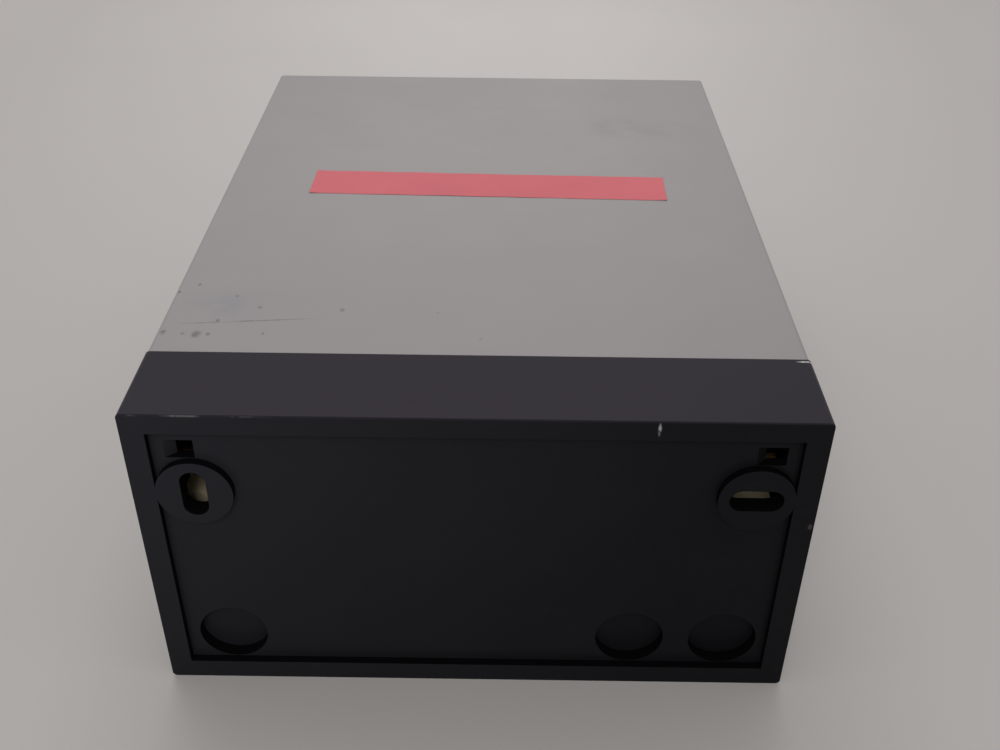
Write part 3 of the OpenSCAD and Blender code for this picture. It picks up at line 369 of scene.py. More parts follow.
def laminate(name, colour, weave, roughness=0.4):
    tree, shader = finish(name, Roughness=roughness)
    where = here(tree)
    across = add(tree, "TexWave", {"Vector": where, "Scale": 320, "Distortion": 0.6}, bands_direction="X")
    along = add(tree, "TexWave", {"Vector": where, "Scale": 320, "Distortion": 0.6}, bands_direction="Z")
    cloth = calc(tree, "MULTIPLY", across.outputs["Fac"], along.outputs["Fac"])
    cloud = levels(tree, grain(tree, 80), 0.3, 0.7, 0.0, 0.5)
    body = mix(tree, cloud, mix(tree, cloth, colour, weave), colour)
    wire(tree, shader, Base_Color=body, Normal=relief(tree, cloth, 0.08, 0.0001))


# %% Finishes of the small pieces
moulding("bezel_black", srgb(31, 30, 33), 0.42, 0.18, 2200)
moulding("meter_black", srgb(28, 28, 30), 0.3, 0.05, 2600)
moulding("knob_black", srgb(26, 26, 29), 0.34, 0.06, 3000)
moulding("switch_black", srgb(27, 27, 30), 0.3, 0.05, 2600)
moulding("holder_black", srgb(30, 30, 32), 0.45, 0.15, 2200)
moulding("chip_black", srgb(38, 38, 40), 0.6, 0.3, 3200)
moulding("rocker_red", srgb(176, 30, 24), 0.26, 0.03, 2600, 1.2)
moulding("pot_tan", srgb(150, 128, 98), 0.5, 0.1, 2600, 1.2)
moulding("insulator_white", srgb(230, 229, 222), 0.4, 0.04, 1800, 1.05)
moulding("trimmer_blue", srgb(44, 92, 168), 0.42, 0.08, 2600, 1.2)
moulding("capacitor_blue", srgb(38, 58, 130), 0.3, 0.04, 1600, 1.2)
moulding("terminal_beige", srgb(230, 214, 178), 0.45, 0.1, 2600, 1.1)
moulding("cable_black", srgb(24, 24, 25), 0.55, 0.1, 1500, 1.3)
moulding("needle_black", srgb(22, 22, 22), 0.5, 0.04, 3000, 1.3)
metal("plain_steel", srgb(196, 196, 198), 0.3, (1, 6, 1))
metal("screw_nickel", srgb(206, 204, 198), 0.24, (4, 1, 4))
metal("socket_nickel", srgb(210, 208, 202), 0.2, (1, 5, 1))
metal("contact_gold", srgb(232, 196, 116), 0.22, (1, 5, 1))
metal("brass", srgb(214, 180, 108), 0.28, (1, 5, 1))
metal("coil_copper", srgb(188, 106, 66), 0.32, (1, 1, 0.02), 260)
metal("can_tin", srgb(196, 196, 192), 0.36, (6, 1, 1), 240)
metal("spring_steel", srgb(190, 190, 192), 0.3, (1, 1, 1), 500)
metal("magnet_steel", srgb(96, 96, 100), 0.55, (1, 1, 1), 900, 0.7)
laminate("phenolic", srgb(132, 98, 62), srgb(114, 82, 50), 0.45)
laminate("board_green", srgb(34, 104, 62), srgb(26, 84, 50), 0.3)
print("finishes:", len(FINISH))

# %% [markdown]
# Four small finishes need their own words. The knob caps are spun aluminium: fine rings round each
# knob's own middle, so the rings come from the distance to the nearest knob axis. The cells have a
# smooth ochre jacket with a dark end, the ribbon has its grooves between the wires, and the chassis
# sheet has the yellow, faintly rainbow skin of a passivated zinc plate.

# %% Spun caps, ribbon, cells, passivated sheet and clear window
RINGS_PER_METRE = 9000.0


def spun_caps():
    tree, shader = finish("knob_cap", Metallic=1.0, Roughness=0.3)
    caps = [node for node in NODES if SLOT_OF[node] == "knob_cap"]
    nearest = None
    for node in caps:
        low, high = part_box(node)
        middle = (low + high) / 2
        flat = here(tree, middle, size=(1, 1000, 1))
        away = add(tree, "VectorMath", {0: flat}, operation="LENGTH").outputs["Value"]
        if nearest:
            away = add(tree, "Math", {0: away, 1: nearest}, operation="MINIMUM").outputs[0]
        nearest = away
    rings = add(tree, "Math", {0: nearest, 1: RINGS_PER_METRE}, operation="MULTIPLY").outputs[0]
    rings = add(tree, "Math", {0: rings}, operation="SINE").outputs[0]
    uneven = calc(tree, "MULTIPLY", levels(tree, rings, -1, 1), levels(tree, grain(tree, 900), 0.2, 0.8))
    wire(tree, shader, Base_Color=mix(tree, uneven, srgb(196, 198, 200), srgb(166, 168, 172)),
         Roughness=levels(tree, uneven, 0, 1, 0.22, 0.38), Normal=relief(tree, uneven, 0.25, 0.00005))


def socket_collars():
    """One collar is red and the other black; the step lies half way between them."""
    tree, shader = finish("collar_red", Roughness=0.28)
    low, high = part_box("jack_collars")
    along = add(tree, "SeparateXYZ", {0: here(tree, ((low.x + high.x) / 2, 0, 0))}).outputs["X"]
    side = calc(tree, "GREATER_THAN", along, 0.0)
    cloud = levels(tree, grain(tree, 90, 4), 0.3, 0.7)
    red = mix(tree, cloud, srgb(176, 32, 27), srgb(160, 27, 23))
    black = mix(tree, cloud, srgb(30, 30, 32), srgb(24, 24, 26))
    body = mix(tree, side, black, red)
    wire(tree, shader, Base_Color=mix(tree, wear(tree, 500, 0.5, 0.75), body, srgb(120, 84, 80)),
         Normal=relief(tree, grain(tree, 2600, 2), 0.04, 0.0002))


def ribbon_sheath():
    tree, shader = finish("cable_grey", Roughness=0.5)
    cores = add(tree, "TexWave", {"Vector": here(tree), "Scale": 250}, bands_direction="X").outputs["Fac"]
    # The grooves between the wires are painted darker: painted shade.
    wire(tree, shader, Base_Color=mix(tree, cores, srgb(138, 140, 144), srgb(172, 173, 176)),
         Normal=relief(tree, cores, 0.8, 0.0004))


def cell_jacket():
    tree, shader = finish("cell_jacket", Roughness=0.3)
    ends = add(tree, "TexWave", {"Vector": here(tree), "Scale": 9.5}, bands_direction="X").outputs["Fac"]
    print_grain = levels(tree, grain(tree, 700), 0.35, 0.7, 0.0, 0.3)
    body = mix(tree, levels(tree, ends, 0.2, 0.24), srgb(60, 58, 56), srgb(196, 160, 66))
    wire(tree, shader, Base_Color=mix(tree, print_grain, body, srgb(150, 120, 50)))


def passivated_sheet():
    tree, shader = finish("passivated_steel", Metallic=1.0, Roughness=0.34)
    drift = grain(tree, 28, 4, 0.6, twist=1.2)
    yellow = mix(tree, levels(tree, drift, 0.35, 0.55), srgb(206, 184, 120), srgb(196, 170, 96))
    rainbow = mix(tree, levels(tree, drift, 0.55, 0.72), yellow, srgb(176, 178, 140))
    pink = mix(tree, levels(tree, grain(tree, 46, 3), 0.58, 0.75, 0.0, 0.6), rainbow, srgb(196, 150, 130))
    lines = grain(tree, 500, 3, stretch=(1, 14, 1))
    wire(tree, shader, Base_Color=pink, Roughness=levels(tree, lines, 0.3, 0.7, 0.28, 0.44),
         Normal=relief(tree, lines, 0.1, 0.00005))


def clear_window():
    tree, shader = finish("clear_lens", Base_Color=srgb(240, 245, 248), Roughness=0.06, Alpha=0.06,
                          Specular_IOR_Level=0.8)
    haze = levels(tree, grain(tree, 120, 5), 0.4, 0.8, 0.03, 0.1)
    wire(tree, shader, Roughness=haze)


spun_caps()
socket_collars()
ribbon_sheath()
cell_jacket()
passivated_sheet()
clear_window()

# %% [markdown]
# The front panel and the dial are painted sheet, and both are out of the photograph. The panel is a pale
# warm grey enamel, a little yellowed, and the dial is a matt warm white. Their paint is drawn with a
# large slow drift for age and a fine orange peel for the sprayed surface.

# %% Panel and dial paint


def enamel(name, colour, aged, roughness, peel):
    tree, shader = finish(name, Roughness=roughness)
    drift = levels(tree, grain(tree, 14, 3), 0.35, 0.7)
    body = mix(tree, drift, colour, aged)
    chipped = mix(tree, wear(tree, 420, 0.6, 0.7), body, srgb(120, 118, 112))
    skin = grain(tree, 900, 2)
    wire(tree, shader, Base_Color=chipped, Normal=relief(tree, skin, peel, 0.0001),
         Roughness=levels(tree, grain(tree, 40, 4), 0.3, 0.7, roughness - 0.05, roughness + 0.07))


enamel("panel_paint", srgb(206, 204, 196), srgb(198, 194, 182), 0.42, 0.10)
enamel("dial_white", srgb(236, 232, 218), srgb(228, 222, 204), 0.6, 0.03)

# %% [markdown]
# The sleeve is a folded steel sheet, sprayed a satin grey. It is seen best, so it gets the most: slow
# drifts where hands have dulled it, a scratch, dark scuffs and a bluish bruise near the seam, a smudge
# towards the far edge, and painted shade that darkens it towards the rear and the sides. Each mark is put
# where the photograph shows it, by a ray from the camera onto the finished sleeve. The scuffs are a list
# of small spots about one of them, in millimetres.

# %% Sleeve
MARKS = {}
SCUFFS = [  # x, y and half width
    (0, 0, 1.9), (-3.3, 0, 0.8), (3.8, -0.3, 0.8), (9.3, -0.7, 1.2), (-4.4, -7.4, 0.8), (5.1, -27.3, 0.8),
    (-7.3, -20.8, 0.6), (-15, -14.6, 0.7), (-38.8, -13.7, 1.0), (-66.3, -13, 0.7), (-78.8, 0.8, 0.8),
    (-18.3, -0.7, 0.7), (10.1, -22.8, 0.7),
]
SCRATCH_TURN = radians(5.4)
BRUISE_FROM_SCUFFS = Vector((-7, -16, 0)) * MM


def mark(name, tree_of_piece):
    MARKS[name] = place(POINTS[name], tree_of_piece)
    return MARKS[name]


def sleeve_paint(tree_of_sleeve):
    tree, shader = finish("sleeve_paint", Roughness=0.42)
    drift = levels(tree, grain(tree, 9, 4, 0.55), 0.35, 0.68)
    cloud = levels(tree, grain(tree, 45, 5, 0.6), 0.3, 0.75, 0.0, 0.6)
    body = mix(tree, drift, srgb(147, 142, 141), srgb(141, 136, 136))
    body = mix(tree, cloud, body, srgb(138, 134, 135))
    brushed = levels(tree, grain(tree, 60, 5, 0.6, stretch=(7, 1, 1)), 0.35, 0.7, 0.0, 0.35)
    body = mix(tree, brushed, body, srgb(136, 134, 131))
    # Painted shade: the paint is darker towards the rear.
    rearward = levels(tree, coordinate(tree, "Y"), -0.02, 0.093, 0.0, 0.6)
    body = mix(tree, rearward, body, srgb(123, 118, 119))
    # Painted shade: the paint is darker towards the sides.
    outward = levels(tree, sideways(tree), 0.035, 0.09, 0.0, 0.35)
    body = mix(tree, outward, body, srgb(124, 120, 121))
    specks = levels(tree, grain(tree, 1500, 2), 0.66, 0.74, 0.0, 0.35)
    body = mix(tree, specks, body, srgb(126, 124, 124))
    smudge = spot(tree, mark("smudge", tree_of_sleeve), (0.026, 0.012, 0.02))
    smudge = calc(tree, "MULTIPLY", smudge, levels(tree, grain(tree, 130, 5), 0.4, 0.7, 0.0, 0.55))
    body = mix(tree, smudge, body, srgb(112, 112, 106))
    scratch_at = mark("scratch", tree_of_sleeve)
    line = spot(tree, scratch_at, (0.023, 0.0004, 0.01), (0, 0, SCRATCH_TURN))
    broken = levels(tree, grain(tree, 240, 4), 0.36, 0.56, 0.25, 1.0)
    line = calc(tree, "MULTIPLY", levels(tree, line, 0.02, 0.4), broken)
    body = mix(tree, calc(tree, "MULTIPLY", line, 0.8), body, srgb(90, 88, 90))
    scuff_at = mark("scuffs", tree_of_sleeve)
    bruise = spot(tree, scuff_at + BRUISE_FROM_SCUFFS, (0.018, 0.012, 0.01))
    bruise = calc(tree, "MULTIPLY", bruise, levels(tree, grain(tree, 190, 5), 0.35, 0.65, 0.0, 0.5))
    body = mix(tree, bruise, body, srgb(112, 114, 120))
    scuffs = None
    for x, y, half in SCUFFS:
        one = spot(tree, scuff_at + Vector((x, y, 0)) * MM, (half * MM, 1.3 * half * MM, 0.01))
        scuffs = calc(tree, "MAXIMUM", one, scuffs) if scuffs else one
    ragged = levels(tree, grain(tree, 700, 4), 0.35, 0.6, 0.35, 1.0)
    scuffs = calc(tree, "MULTIPLY", levels(tree, scuffs, 0.1, 0.5), ragged)
    faint = levels(tree, coordinate(tree, "X"), 0.0, 0.06, 0.35, 0.85)
    body = mix(tree, calc(tree, "MULTIPLY", scuffs, faint), body, srgb(84, 78, 77))
    rubbed = mix(tree, wear(tree, 120, 0.5, 0.66), body, srgb(196, 194, 192))
    skin = relief(tree, grain(tree, 1100, 2), 0.06, 0.0001)
    wire(tree, shader, Base_Color=rubbed, Normal=relief(tree, line, 0.4, -0.00003, skin),
         Roughness=levels(tree, grain(tree, 24, 5), 0.3, 0.7, 0.36, 0.5))


# The paint's marks need the finished mesh, so a blank stands in until it is there.
FINISH["sleeve_paint"] = bpy.data.materials.new("sleeve_blank")
sleeve = soften("case_sleeve", 0.3)
sleeve_paint(tree_of(sleeve))
sleeve.data.materials[0] = FINISH["sleeve_paint"]
print("sleeve faces:", len(sleeve.data.polygons))

# %% [markdown]
# The rear housing is one black moulding. Its rim, recess, bosses, slots and knockouts are all in the CAD
# solid, so softening its edges is enough shape. The finish does the rest: a dull black with a fine
# texture and dust, painted light that makes it paler on top and towards one side, a painted highlight
# at the corner where it meets the sleeve, edges rubbed to a brighter grey that on the bosses' rims is
# also a painted highlight, and painted shade that makes the walls of hollows black.

# %% Rear housing


def housing_black(tree_of_housing):
    tree, shader = finish("housing_black", Specular_IOR_Level=0.05, Specular_Tint=(0.95, 0.82, 1.0, 1.0))
    drift = levels(tree, grain(tree, 13, 4, 0.6), 0.34, 0.68)
    body = mix(tree, drift, srgb(18, 18, 20), srgb(23, 23, 25))
    # Painted light: the housing is paler towards its +X side and towards its top.
    height = coordinate(tree, "Z")
    painted_side_light = calc(tree, "MULTIPLY", levels(tree, coordinate(tree, "X"), -0.05, 0.085),
                 levels(tree, height, 0.0, 0.09, 0.45, 1.0))
    body = mix(tree, painted_side_light, body, srgb(38, 38, 42))
    # Painted light: the top face is paler than the walls below it.
    body = mix(tree, levels(tree, height, 0.0957, 0.0963), body, srgb(45, 42, 48))
    dust = levels(tree, grain(tree, 160, 6, 0.7), 0.58, 0.8, 0.0, 0.2)
    body = mix(tree, dust, body, srgb(42, 40, 44))
    nick = spot(tree, mark("rim_nick", tree_of_housing), (0.0006, 0.004, 0.0026))
    nick = calc(tree, "MULTIPLY", levels(tree, nick, 0.1, 0.7), levels(tree, grain(tree, 900, 3), 0.3, 0.6))
    body = mix(tree, nick, body, srgb(150, 148, 150))
    chip = spot(tree, mark("edge_chip", tree_of_housing), (0.001, 0.0012, 0.0016))
    body = mix(tree, levels(tree, chip, 0.2, 0.7, 0.0, 0.6), body, srgb(72, 70, 70))
    edge_rub = spot(tree, mark("edge_rub", tree_of_housing), (0.026, 0.0004, 0.0004))
    broken = levels(tree, grain(tree, 260, 5), 0.44, 0.62, 0.0, 0.8)
    edge_rub = calc(tree, "MULTIPLY", levels(tree, edge_rub, 0.0, 0.6), broken)
    body = mix(tree, edge_rub, body, srgb(100, 99, 100))
    # Painted highlight: a bright line on the rim's corner where it meets the sleeve.
    seam_glint = spot(tree, mark("seam_glint", tree_of_housing), (0.003, 0.0005, 0.003))
    seam_glint = calc(tree, "MULTIPLY", levels(tree, seam_glint, 0.05, 0.5),
                    levels(tree, grain(tree, 800, 4), 0.36, 0.5))
    body = mix(tree, seam_glint, body, srgb(168, 165, 166))
    # Outer edges rubbed to a brighter grey: wear, and on the rims of the bosses also a painted highlight.
    rubbed = mix(tree, wear(tree, 220, 0.5, 0.72), body, srgb(62, 60, 66))
    # Painted shade: the walls of the hollows are made nearly black and rough.
    hollow_shade = add(tree, "Attribute", attribute_name="hollow_shade").outputs["Fac"]
    rubbed = mix(tree, calc(tree, "MULTIPLY", hollow_shade, 0.92), rubbed, srgb(3, 3, 4))
    pores = relief(tree, grain(tree, 2400, 2), 0.08, 0.0002)
    polish = levels(tree, grain(tree, 34, 5), 0.3, 0.7, 0.26, 0.36)
    wire(tree, shader, Base_Color=rubbed, Normal=pores, Roughness=calc(tree, "MAXIMUM", polish, hollow_shade))


def housing_shape():
    """The housing with its edges rounded; the walls of its hollows are marked for painted shade."""
    shape = merged("rear_housing")
    hollow_shade = layer(shape, "hollow_shade")
    low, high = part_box("rear_housing")
    for face in shape.faces:
        at = face.calc_center_median()
        within = low.x + 2 * MM < at.x < high.x - 2 * MM and low.z + 2 * MM < at.z < high.z - 2 * MM
        # Walls near the back that face sideways are marked for painted shade.
        if within and at.y > high.y - 7 * MM and abs(face.normal.y) < 0.3:
            face[hollow_shade] = 1.0
    bevel_sharp(shape, 0.2 * MM, 3)
    return to_piece(shape, "rear_housing_soft", "housing_black", "case", ["rear_housing"])


FINISH["housing_black"] = bpy.data.materials.new("housing_blank")
housing = housing_shape()
housing_black(tree_of(housing))
housing.data.materials[0] = FINISH["housing_black"]
print("housing faces:", len(housing.data.polygons))

# %% [markdown]
# The label is plastic tape from a hand labeller, stuck on by thumb: nearly flat, with slight waves and
# corners that don't quite hold. A grid is bent by a few slow sines and given its thickness. What the
# tape says belongs to its owner, so it stays bare.

# %% Label tape
TAPE_THICK = 0.12 * MM


def tape_finish():
    tree, shader = finish("tape_pink", Roughness=0.36, Specular_IOR_Level=0.35)
    drift = levels(tree, grain(tree, 60, 4), 0.3, 0.7)
    body = mix(tree, drift, srgb(195, 89, 97), srgb(188, 85, 94))
    rubbed = mix(tree, wear(tree, 300, 0.35, 0.6), body, srgb(150, 70, 80))
    wire(tree, shader, Base_Color=rubbed, Normal=relief(tree, grain(tree, 180, 3), 0.15, 0.0002))


def label_tape():
    tape_finish()
    cad = merged("label_tape")
    edge = max(cad.edges, key=lambda e: e.calc_length())
    along = (edge.verts[1].co - edge.verts[0].co).normalized()
    along = along if along.x > 0 else -along
    across = Vector((-along.y, along.x, 0))
    length = edge.calc_length()
    middle = sum((v.co for v in cad.verts), Vector()) / len(cad.verts)
    width = 2 * max((v.co - middle).dot(across) for v in cad.verts)
    low = min(v.co.z for v in cad.verts)
    cad.free()
    tape = bmesh.new()
    bmesh.ops.create_grid(tape, x_segments=96, y_segments=14, size=0.5)
    for vert in tape.verts:
        u, v = vert.co.x, vert.co.y
        lift = 0.05 * MM * (1 + sin(9 * u + 2 * v)) / 2 + 0.04 * MM * (1 + sin(31 * u - 3 * v)) / 2
        curl = max(0.0, 2 * abs(u) - 0.94) * max(0.0, 2 * abs(v) - 0.6) * 5 * MM
        uneven = 0.06 * MM * sin(40 * u) * (2 * v)
        flat = middle + along * (length * u) + across * (width * v + uneven)
        vert.co = Vector((flat.x, flat.y, low + 0.01 * MM + lift + curl))
    bmesh.ops.recalc_face_normals(tape, faces=tape.faces)
    bmesh.ops.solidify(tape, geom=tape.faces[:], thickness=-TAPE_THICK)
    bmesh.ops.recalc_face_normals(tape, faces=tape.faces)
    bevel_sharp(tape, 0.03 * MM, 1)
    return to_piece(tape, "label_tape_laid", "tape_pink", "case", ["label_tape"])


label = label_tape()
print("label top:", max(v.co.z for v in label.data.vertices))

# %% [markdown]
# The rest of what a hand can reach is softened in the same way, each by the round its process leaves:
# a moulding about 0.3 mm, a turned or stamped metal piece 0.1 to 0.2 mm.

# %% Soften the front, the knobs and the fastenings
ROUNDS = {
    0.3: ["front_bezel", "mode_knob", "power_rocker", "rocker_housing", "jack_collars"],
    0.2: ["temperature_knob", "buffer_knob", "slope_knob"],
    0.15: ["front_panel", "rod_screws", "base_screws", "control_nuts", "bnc_shell", "jack_sockets",
           "zero_adjuster", "meter_case", "mode_knob_cap", "temperature_knob_cap", "buffer_knob_cap",
           "slope_knob_cap", "terminal_blocks", "bnc_insulator", "bnc_nut"],
}
for width, names in ROUNDS.items():
    for node in names:
        soften(node, width)
print("softened:", sum(len(names) for names in ROUNDS.values()) + 2)

# %% [markdown]
# Every CAD node that stays gets its finish by its slot in the record.

# %% Finish the nodes that stay
for node, item in NODES.items():
    item.data.materials.clear()
    item.data.materials.append(FINISH[SLOT_OF[node]])

# %% [markdown]
# Prints are thin: ink stands a few hundredths of a millimetre proud. They are drawn here as shallow
# solids on a sheet, a plane with its own X and Y in millimetres that faces the reader. One bmesh collects
# every line, ring and numeral of a print, so each print is one piece. A ring is a small section spun
# round its middle, because the Spin operator gives a smooth and closed band at any angle.

# %% Drawing prints
INK = 0.03


def front_sheet(y):
    """The sheet that stands at depth y and faces the front: X to the right, Y upwards."""
    return Matrix.Translation((0, y, 0)) @ Matrix.Rotation(radians(90), 4, "X") @ Matrix.Scale(MM, 4)


def lay(ink, shape, frame):
    bmesh.ops.recalc_face_normals(shape, faces=shape.faces)
    bmesh.ops.transform(shape, matrix=frame, verts=shape.verts)
    drawing = bpy.data.meshes.new("drawing")
    shape.to_mesh(drawing)
    shape.free()
    ink.from_mesh(drawing)
    bpy.data.meshes.remove(drawing)


def stroke(ink, sheet, start, end, width):
    run = Vector(end) - Vector(start)
    middle = (Vector(start) + Vector(end)) / 2
    lie = Matrix.Translation((middle.x, middle.y, INK / 2)) @ Matrix.Rotation(atan2(run.y, run.x), 4, "Z")
    bmesh.ops.create_cube(ink, size=1, matrix=sheet @ lie @ Matrix.Diagonal((run.length, width, INK, 1)))


def band(ink, sheet, centre, radius, width, start=0, end=360):
    """A ring or a part of one; its angles run clockwise from the top."""
    shape = bmesh.new()
    near, far = radius - width / 2, radius + width / 2
    section = [(near, 0), (far, 0), (far, INK), (near, INK)]
    face = shape.faces.new([shape.verts.new((0, r, h)) for r, h in section])
    whole = end - start >= 360
    if whole:
        bmesh.ops.delete(shape, geom=[face], context="FACES_ONLY")
    bmesh.ops.spin(shape, geom=shape.verts[:] + shape.edges[:] + shape.faces[:],
                   cent=(0, 0, 0), axis=(0, 0, -1), angle=radians(end - start),
                   steps=max(4, round((end - start) / 5)), use_merge=whole)
    turn = Matrix.Rotation(-radians(start), 4, "Z")
    lay(ink, shape, sheet @ Matrix.Translation((*centre, 0)) @ turn)


def words(ink, sheet, text, at, size):
    curve = bpy.data.curves.new("words", "FONT")
    curve.body = text
    curve.size = size
    curve.resolution_u = 3
    curve.align_x = "CENTER"
    curve.align_y = "CENTER"
    curve.extrude = INK / 2
    item = bpy.data.objects.new("words", curve)
    bpy.context.collection.objects.link(item)
    seen = item.evaluated_get(bpy.context.evaluated_depsgraph_get())
    mesh = bpy.data.meshes.new_from_object(seen)
    mesh.transform(sheet @ Matrix.Translation((*at, INK / 2)))
    ink.from_mesh(mesh)
    bpy.data.objects.remove(item)
    bpy.data.meshes.remove(mesh)
    bpy.data.curves.remove(curve)


def round_from(centre, radius, degrees):
    """A point at a clock angle and a distance from a centre."""
    return (centre[0] + radius * sin(radians(degrees)), centre[1] + radius * cos(radians(degrees)))


def ticks(ink, sheet, centre, angles, inner, outer, width):
    for degrees in angles:
        stroke(ink, sheet, round_from(centre, inner, degrees), round_from(centre, outer, degrees), width)


def printed(name, colour, worn_to):
    tree, shader = finish(name, Roughness=0.5)
    thin = levels(tree, grain(tree, 700, 5), 0.52, 0.72, 0.0, 0.5)
    wire(tree, shader, Base_Color=mix(tree, thin, colour, worn_to),
         Roughness=levels(tree, grain(tree, 300, 3), 0.3, 0.7, 0.4, 0.6))


printed("ink_charcoal", srgb(44, 44, 50), srgb(92, 92, 94))
printed("ink_black", srgb(26, 26, 26), srgb(70, 68, 64))
printed("ink_red", srgb(168, 34, 30), srgb(186, 86, 74))
printed("ink_white", srgb(236, 236, 230), srgb(196, 196, 190))
metal("mirror", srgb(222, 226, 228), 0.06, (1, 1, 1), 60, 0.9)

# %% [markdown]
# The dial carries the pH scale from 0 to 14 on its outer arc and millivolts, in red, on the inner one.
# Between them lies a mirror band: a reader lines the needle up with its reflection, so that the reading
# isn't askew. Zero to fourteen spans the needle's swing in the frame, and 59.16 mV is one pH at 25 °C.

# %% Dial print
SPOT_OF = {joint["name"]: [value / MM for value in joint["pos_m"]] for joint in frame["joints"]}
PIVOT = (SPOT_OF["needle_swing"][0], SPOT_OF["needle_swing"][2])
SWING = 45
FULL_PH = 14
MV_PER_PH = 59.16
PH_ARC = 36
MIRROR_ARC = 33.2
MV_ARC = 30.4


def ph_angle(value):
    return SWING * (2 * value / FULL_PH - 1)


def mv_angle(value):
    return ph_angle(FULL_PH / 2 - value / MV_PER_PH)


def dial_print():
    sheet = front_sheet(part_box("dial_plate")[0].y)
    ink = bmesh.new()
    band(ink, sheet, PIVOT, PH_ARC, 0.22, -SWING, SWING)
    ticks(ink, sheet, PIVOT, [ph_angle(i / 5) for i in range(5 * FULL_PH + 1)], PH_ARC, PH_ARC + 1.3, 0.16)
    ticks(ink, sheet, PIVOT, [ph_angle(i / 2) for i in range(2 * FULL_PH + 1)], PH_ARC, PH_ARC + 2.1, 0.18)
    ticks(ink, sheet, PIVOT, [ph_angle(i) for i in range(FULL_PH + 1)], PH_ARC, PH_ARC + 3, 0.32)
    for i in range(FULL_PH + 1):
        words(ink, sheet, str(i), round_from(PIVOT, PH_ARC + 5.6, ph_angle(i)), 3.5)
    words(ink, sheet, "pH", (PIVOT[0] - 28, PIVOT[1] + 9), 6)
    to_piece(ink, "dial_ph_scale", "needle_black", rounded=False, finish_name="ink_black")
    ink = bmesh.new()
    band(ink, sheet, PIVOT, MV_ARC, 0.18, mv_angle(400), mv_angle(-400))
    ticks(ink, sheet, PIVOT, [mv_angle(i) for i in range(-400, 401, 20)], MV_ARC - 1, MV_ARC, 0.15)
    ticks(ink, sheet, PIVOT, [mv_angle(i) for i in range(-400, 401, 100)], MV_ARC - 2, MV_ARC, 0.26)
    for i in range(-400, 401, 200):
        words(ink, sheet, f"{i:+d}" if i else "0", round_from(PIVOT, MV_ARC - 4.2, mv_angle(i)), 2.6)
    words(ink, sheet, "mV", (PIVOT[0] + 28, PIVOT[1] + 9), 5)
    to_piece(ink, "dial_mv_scale", "needle_black", rounded=False, finish_name="ink_red")
    glass = bmesh.new()
    band(glass, sheet, PIVOT, MIRROR_ARC, 2, -SWING, SWING)
    to_piece(glass, "dial_mirror", "socket_nickel", rounded=False, finish_name="mirror")


dial_print()
print("dial pivot:", PIVOT)

# %% [markdown]
# The panel is screen printed in charcoal. Every scale is drawn round its joint's own axis and spans the
# joint's range, so a pointer always ends on its last mark. The words are only units and plain marks: pH,
# mV, °C, per cent, a battery, an earth sign, and the line and circle of a power switch.

# %% Panel print
PANEL_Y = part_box("front_panel")[0].y
KNOB_MARKS = {
    "temperature_turn": ("0", "50", "100", "°C"),
    "buffer_turn": ("−", "0", "+", "pH"),
    "slope_turn": ("80", "90", "100", "%"),
}
MODES = ["0", "pH", "mV", "°C", ""]
KNOB_RING = 11.8
MODE_RING = 16.6
MODE_WORDS = 21.6
SOCKET_WORD_UP = 11


def axis_of(joint):
    return (SPOT_OF[joint][0], SPOT_OF[joint][2])


def middle_of(node):
    low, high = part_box(node)
    return ((low.x + high.x) / 2 / MM, (low.z + high.z) / 2 / MM)


def knob_scale(ink, sheet, centre, marks):
    ticks(ink, sheet, centre, range(-150, 151, 15), KNOB_RING, KNOB_RING + 1, 0.18)
    ticks(ink, sheet, centre, range(-150, 151, 75), KNOB_RING, KNOB_RING + 1.7, 0.4)
    for degrees, text in zip((-150, 0, 150), marks):
        words(ink, sheet, text, round_from(centre, 15.4, degrees), 2.9)
    words(ink, sheet, marks[3], (centre[0], centre[1] - 13.6), 2.7)


def box_line(ink, sheet, left, low, right, high, width):
    over = width / 2
    for z in (low, high):
        stroke(ink, sheet, (left - over, z), (right + over, z), width)
    for x in (left, right):
        stroke(ink, sheet, (x, low + over), (x, high - over), width)


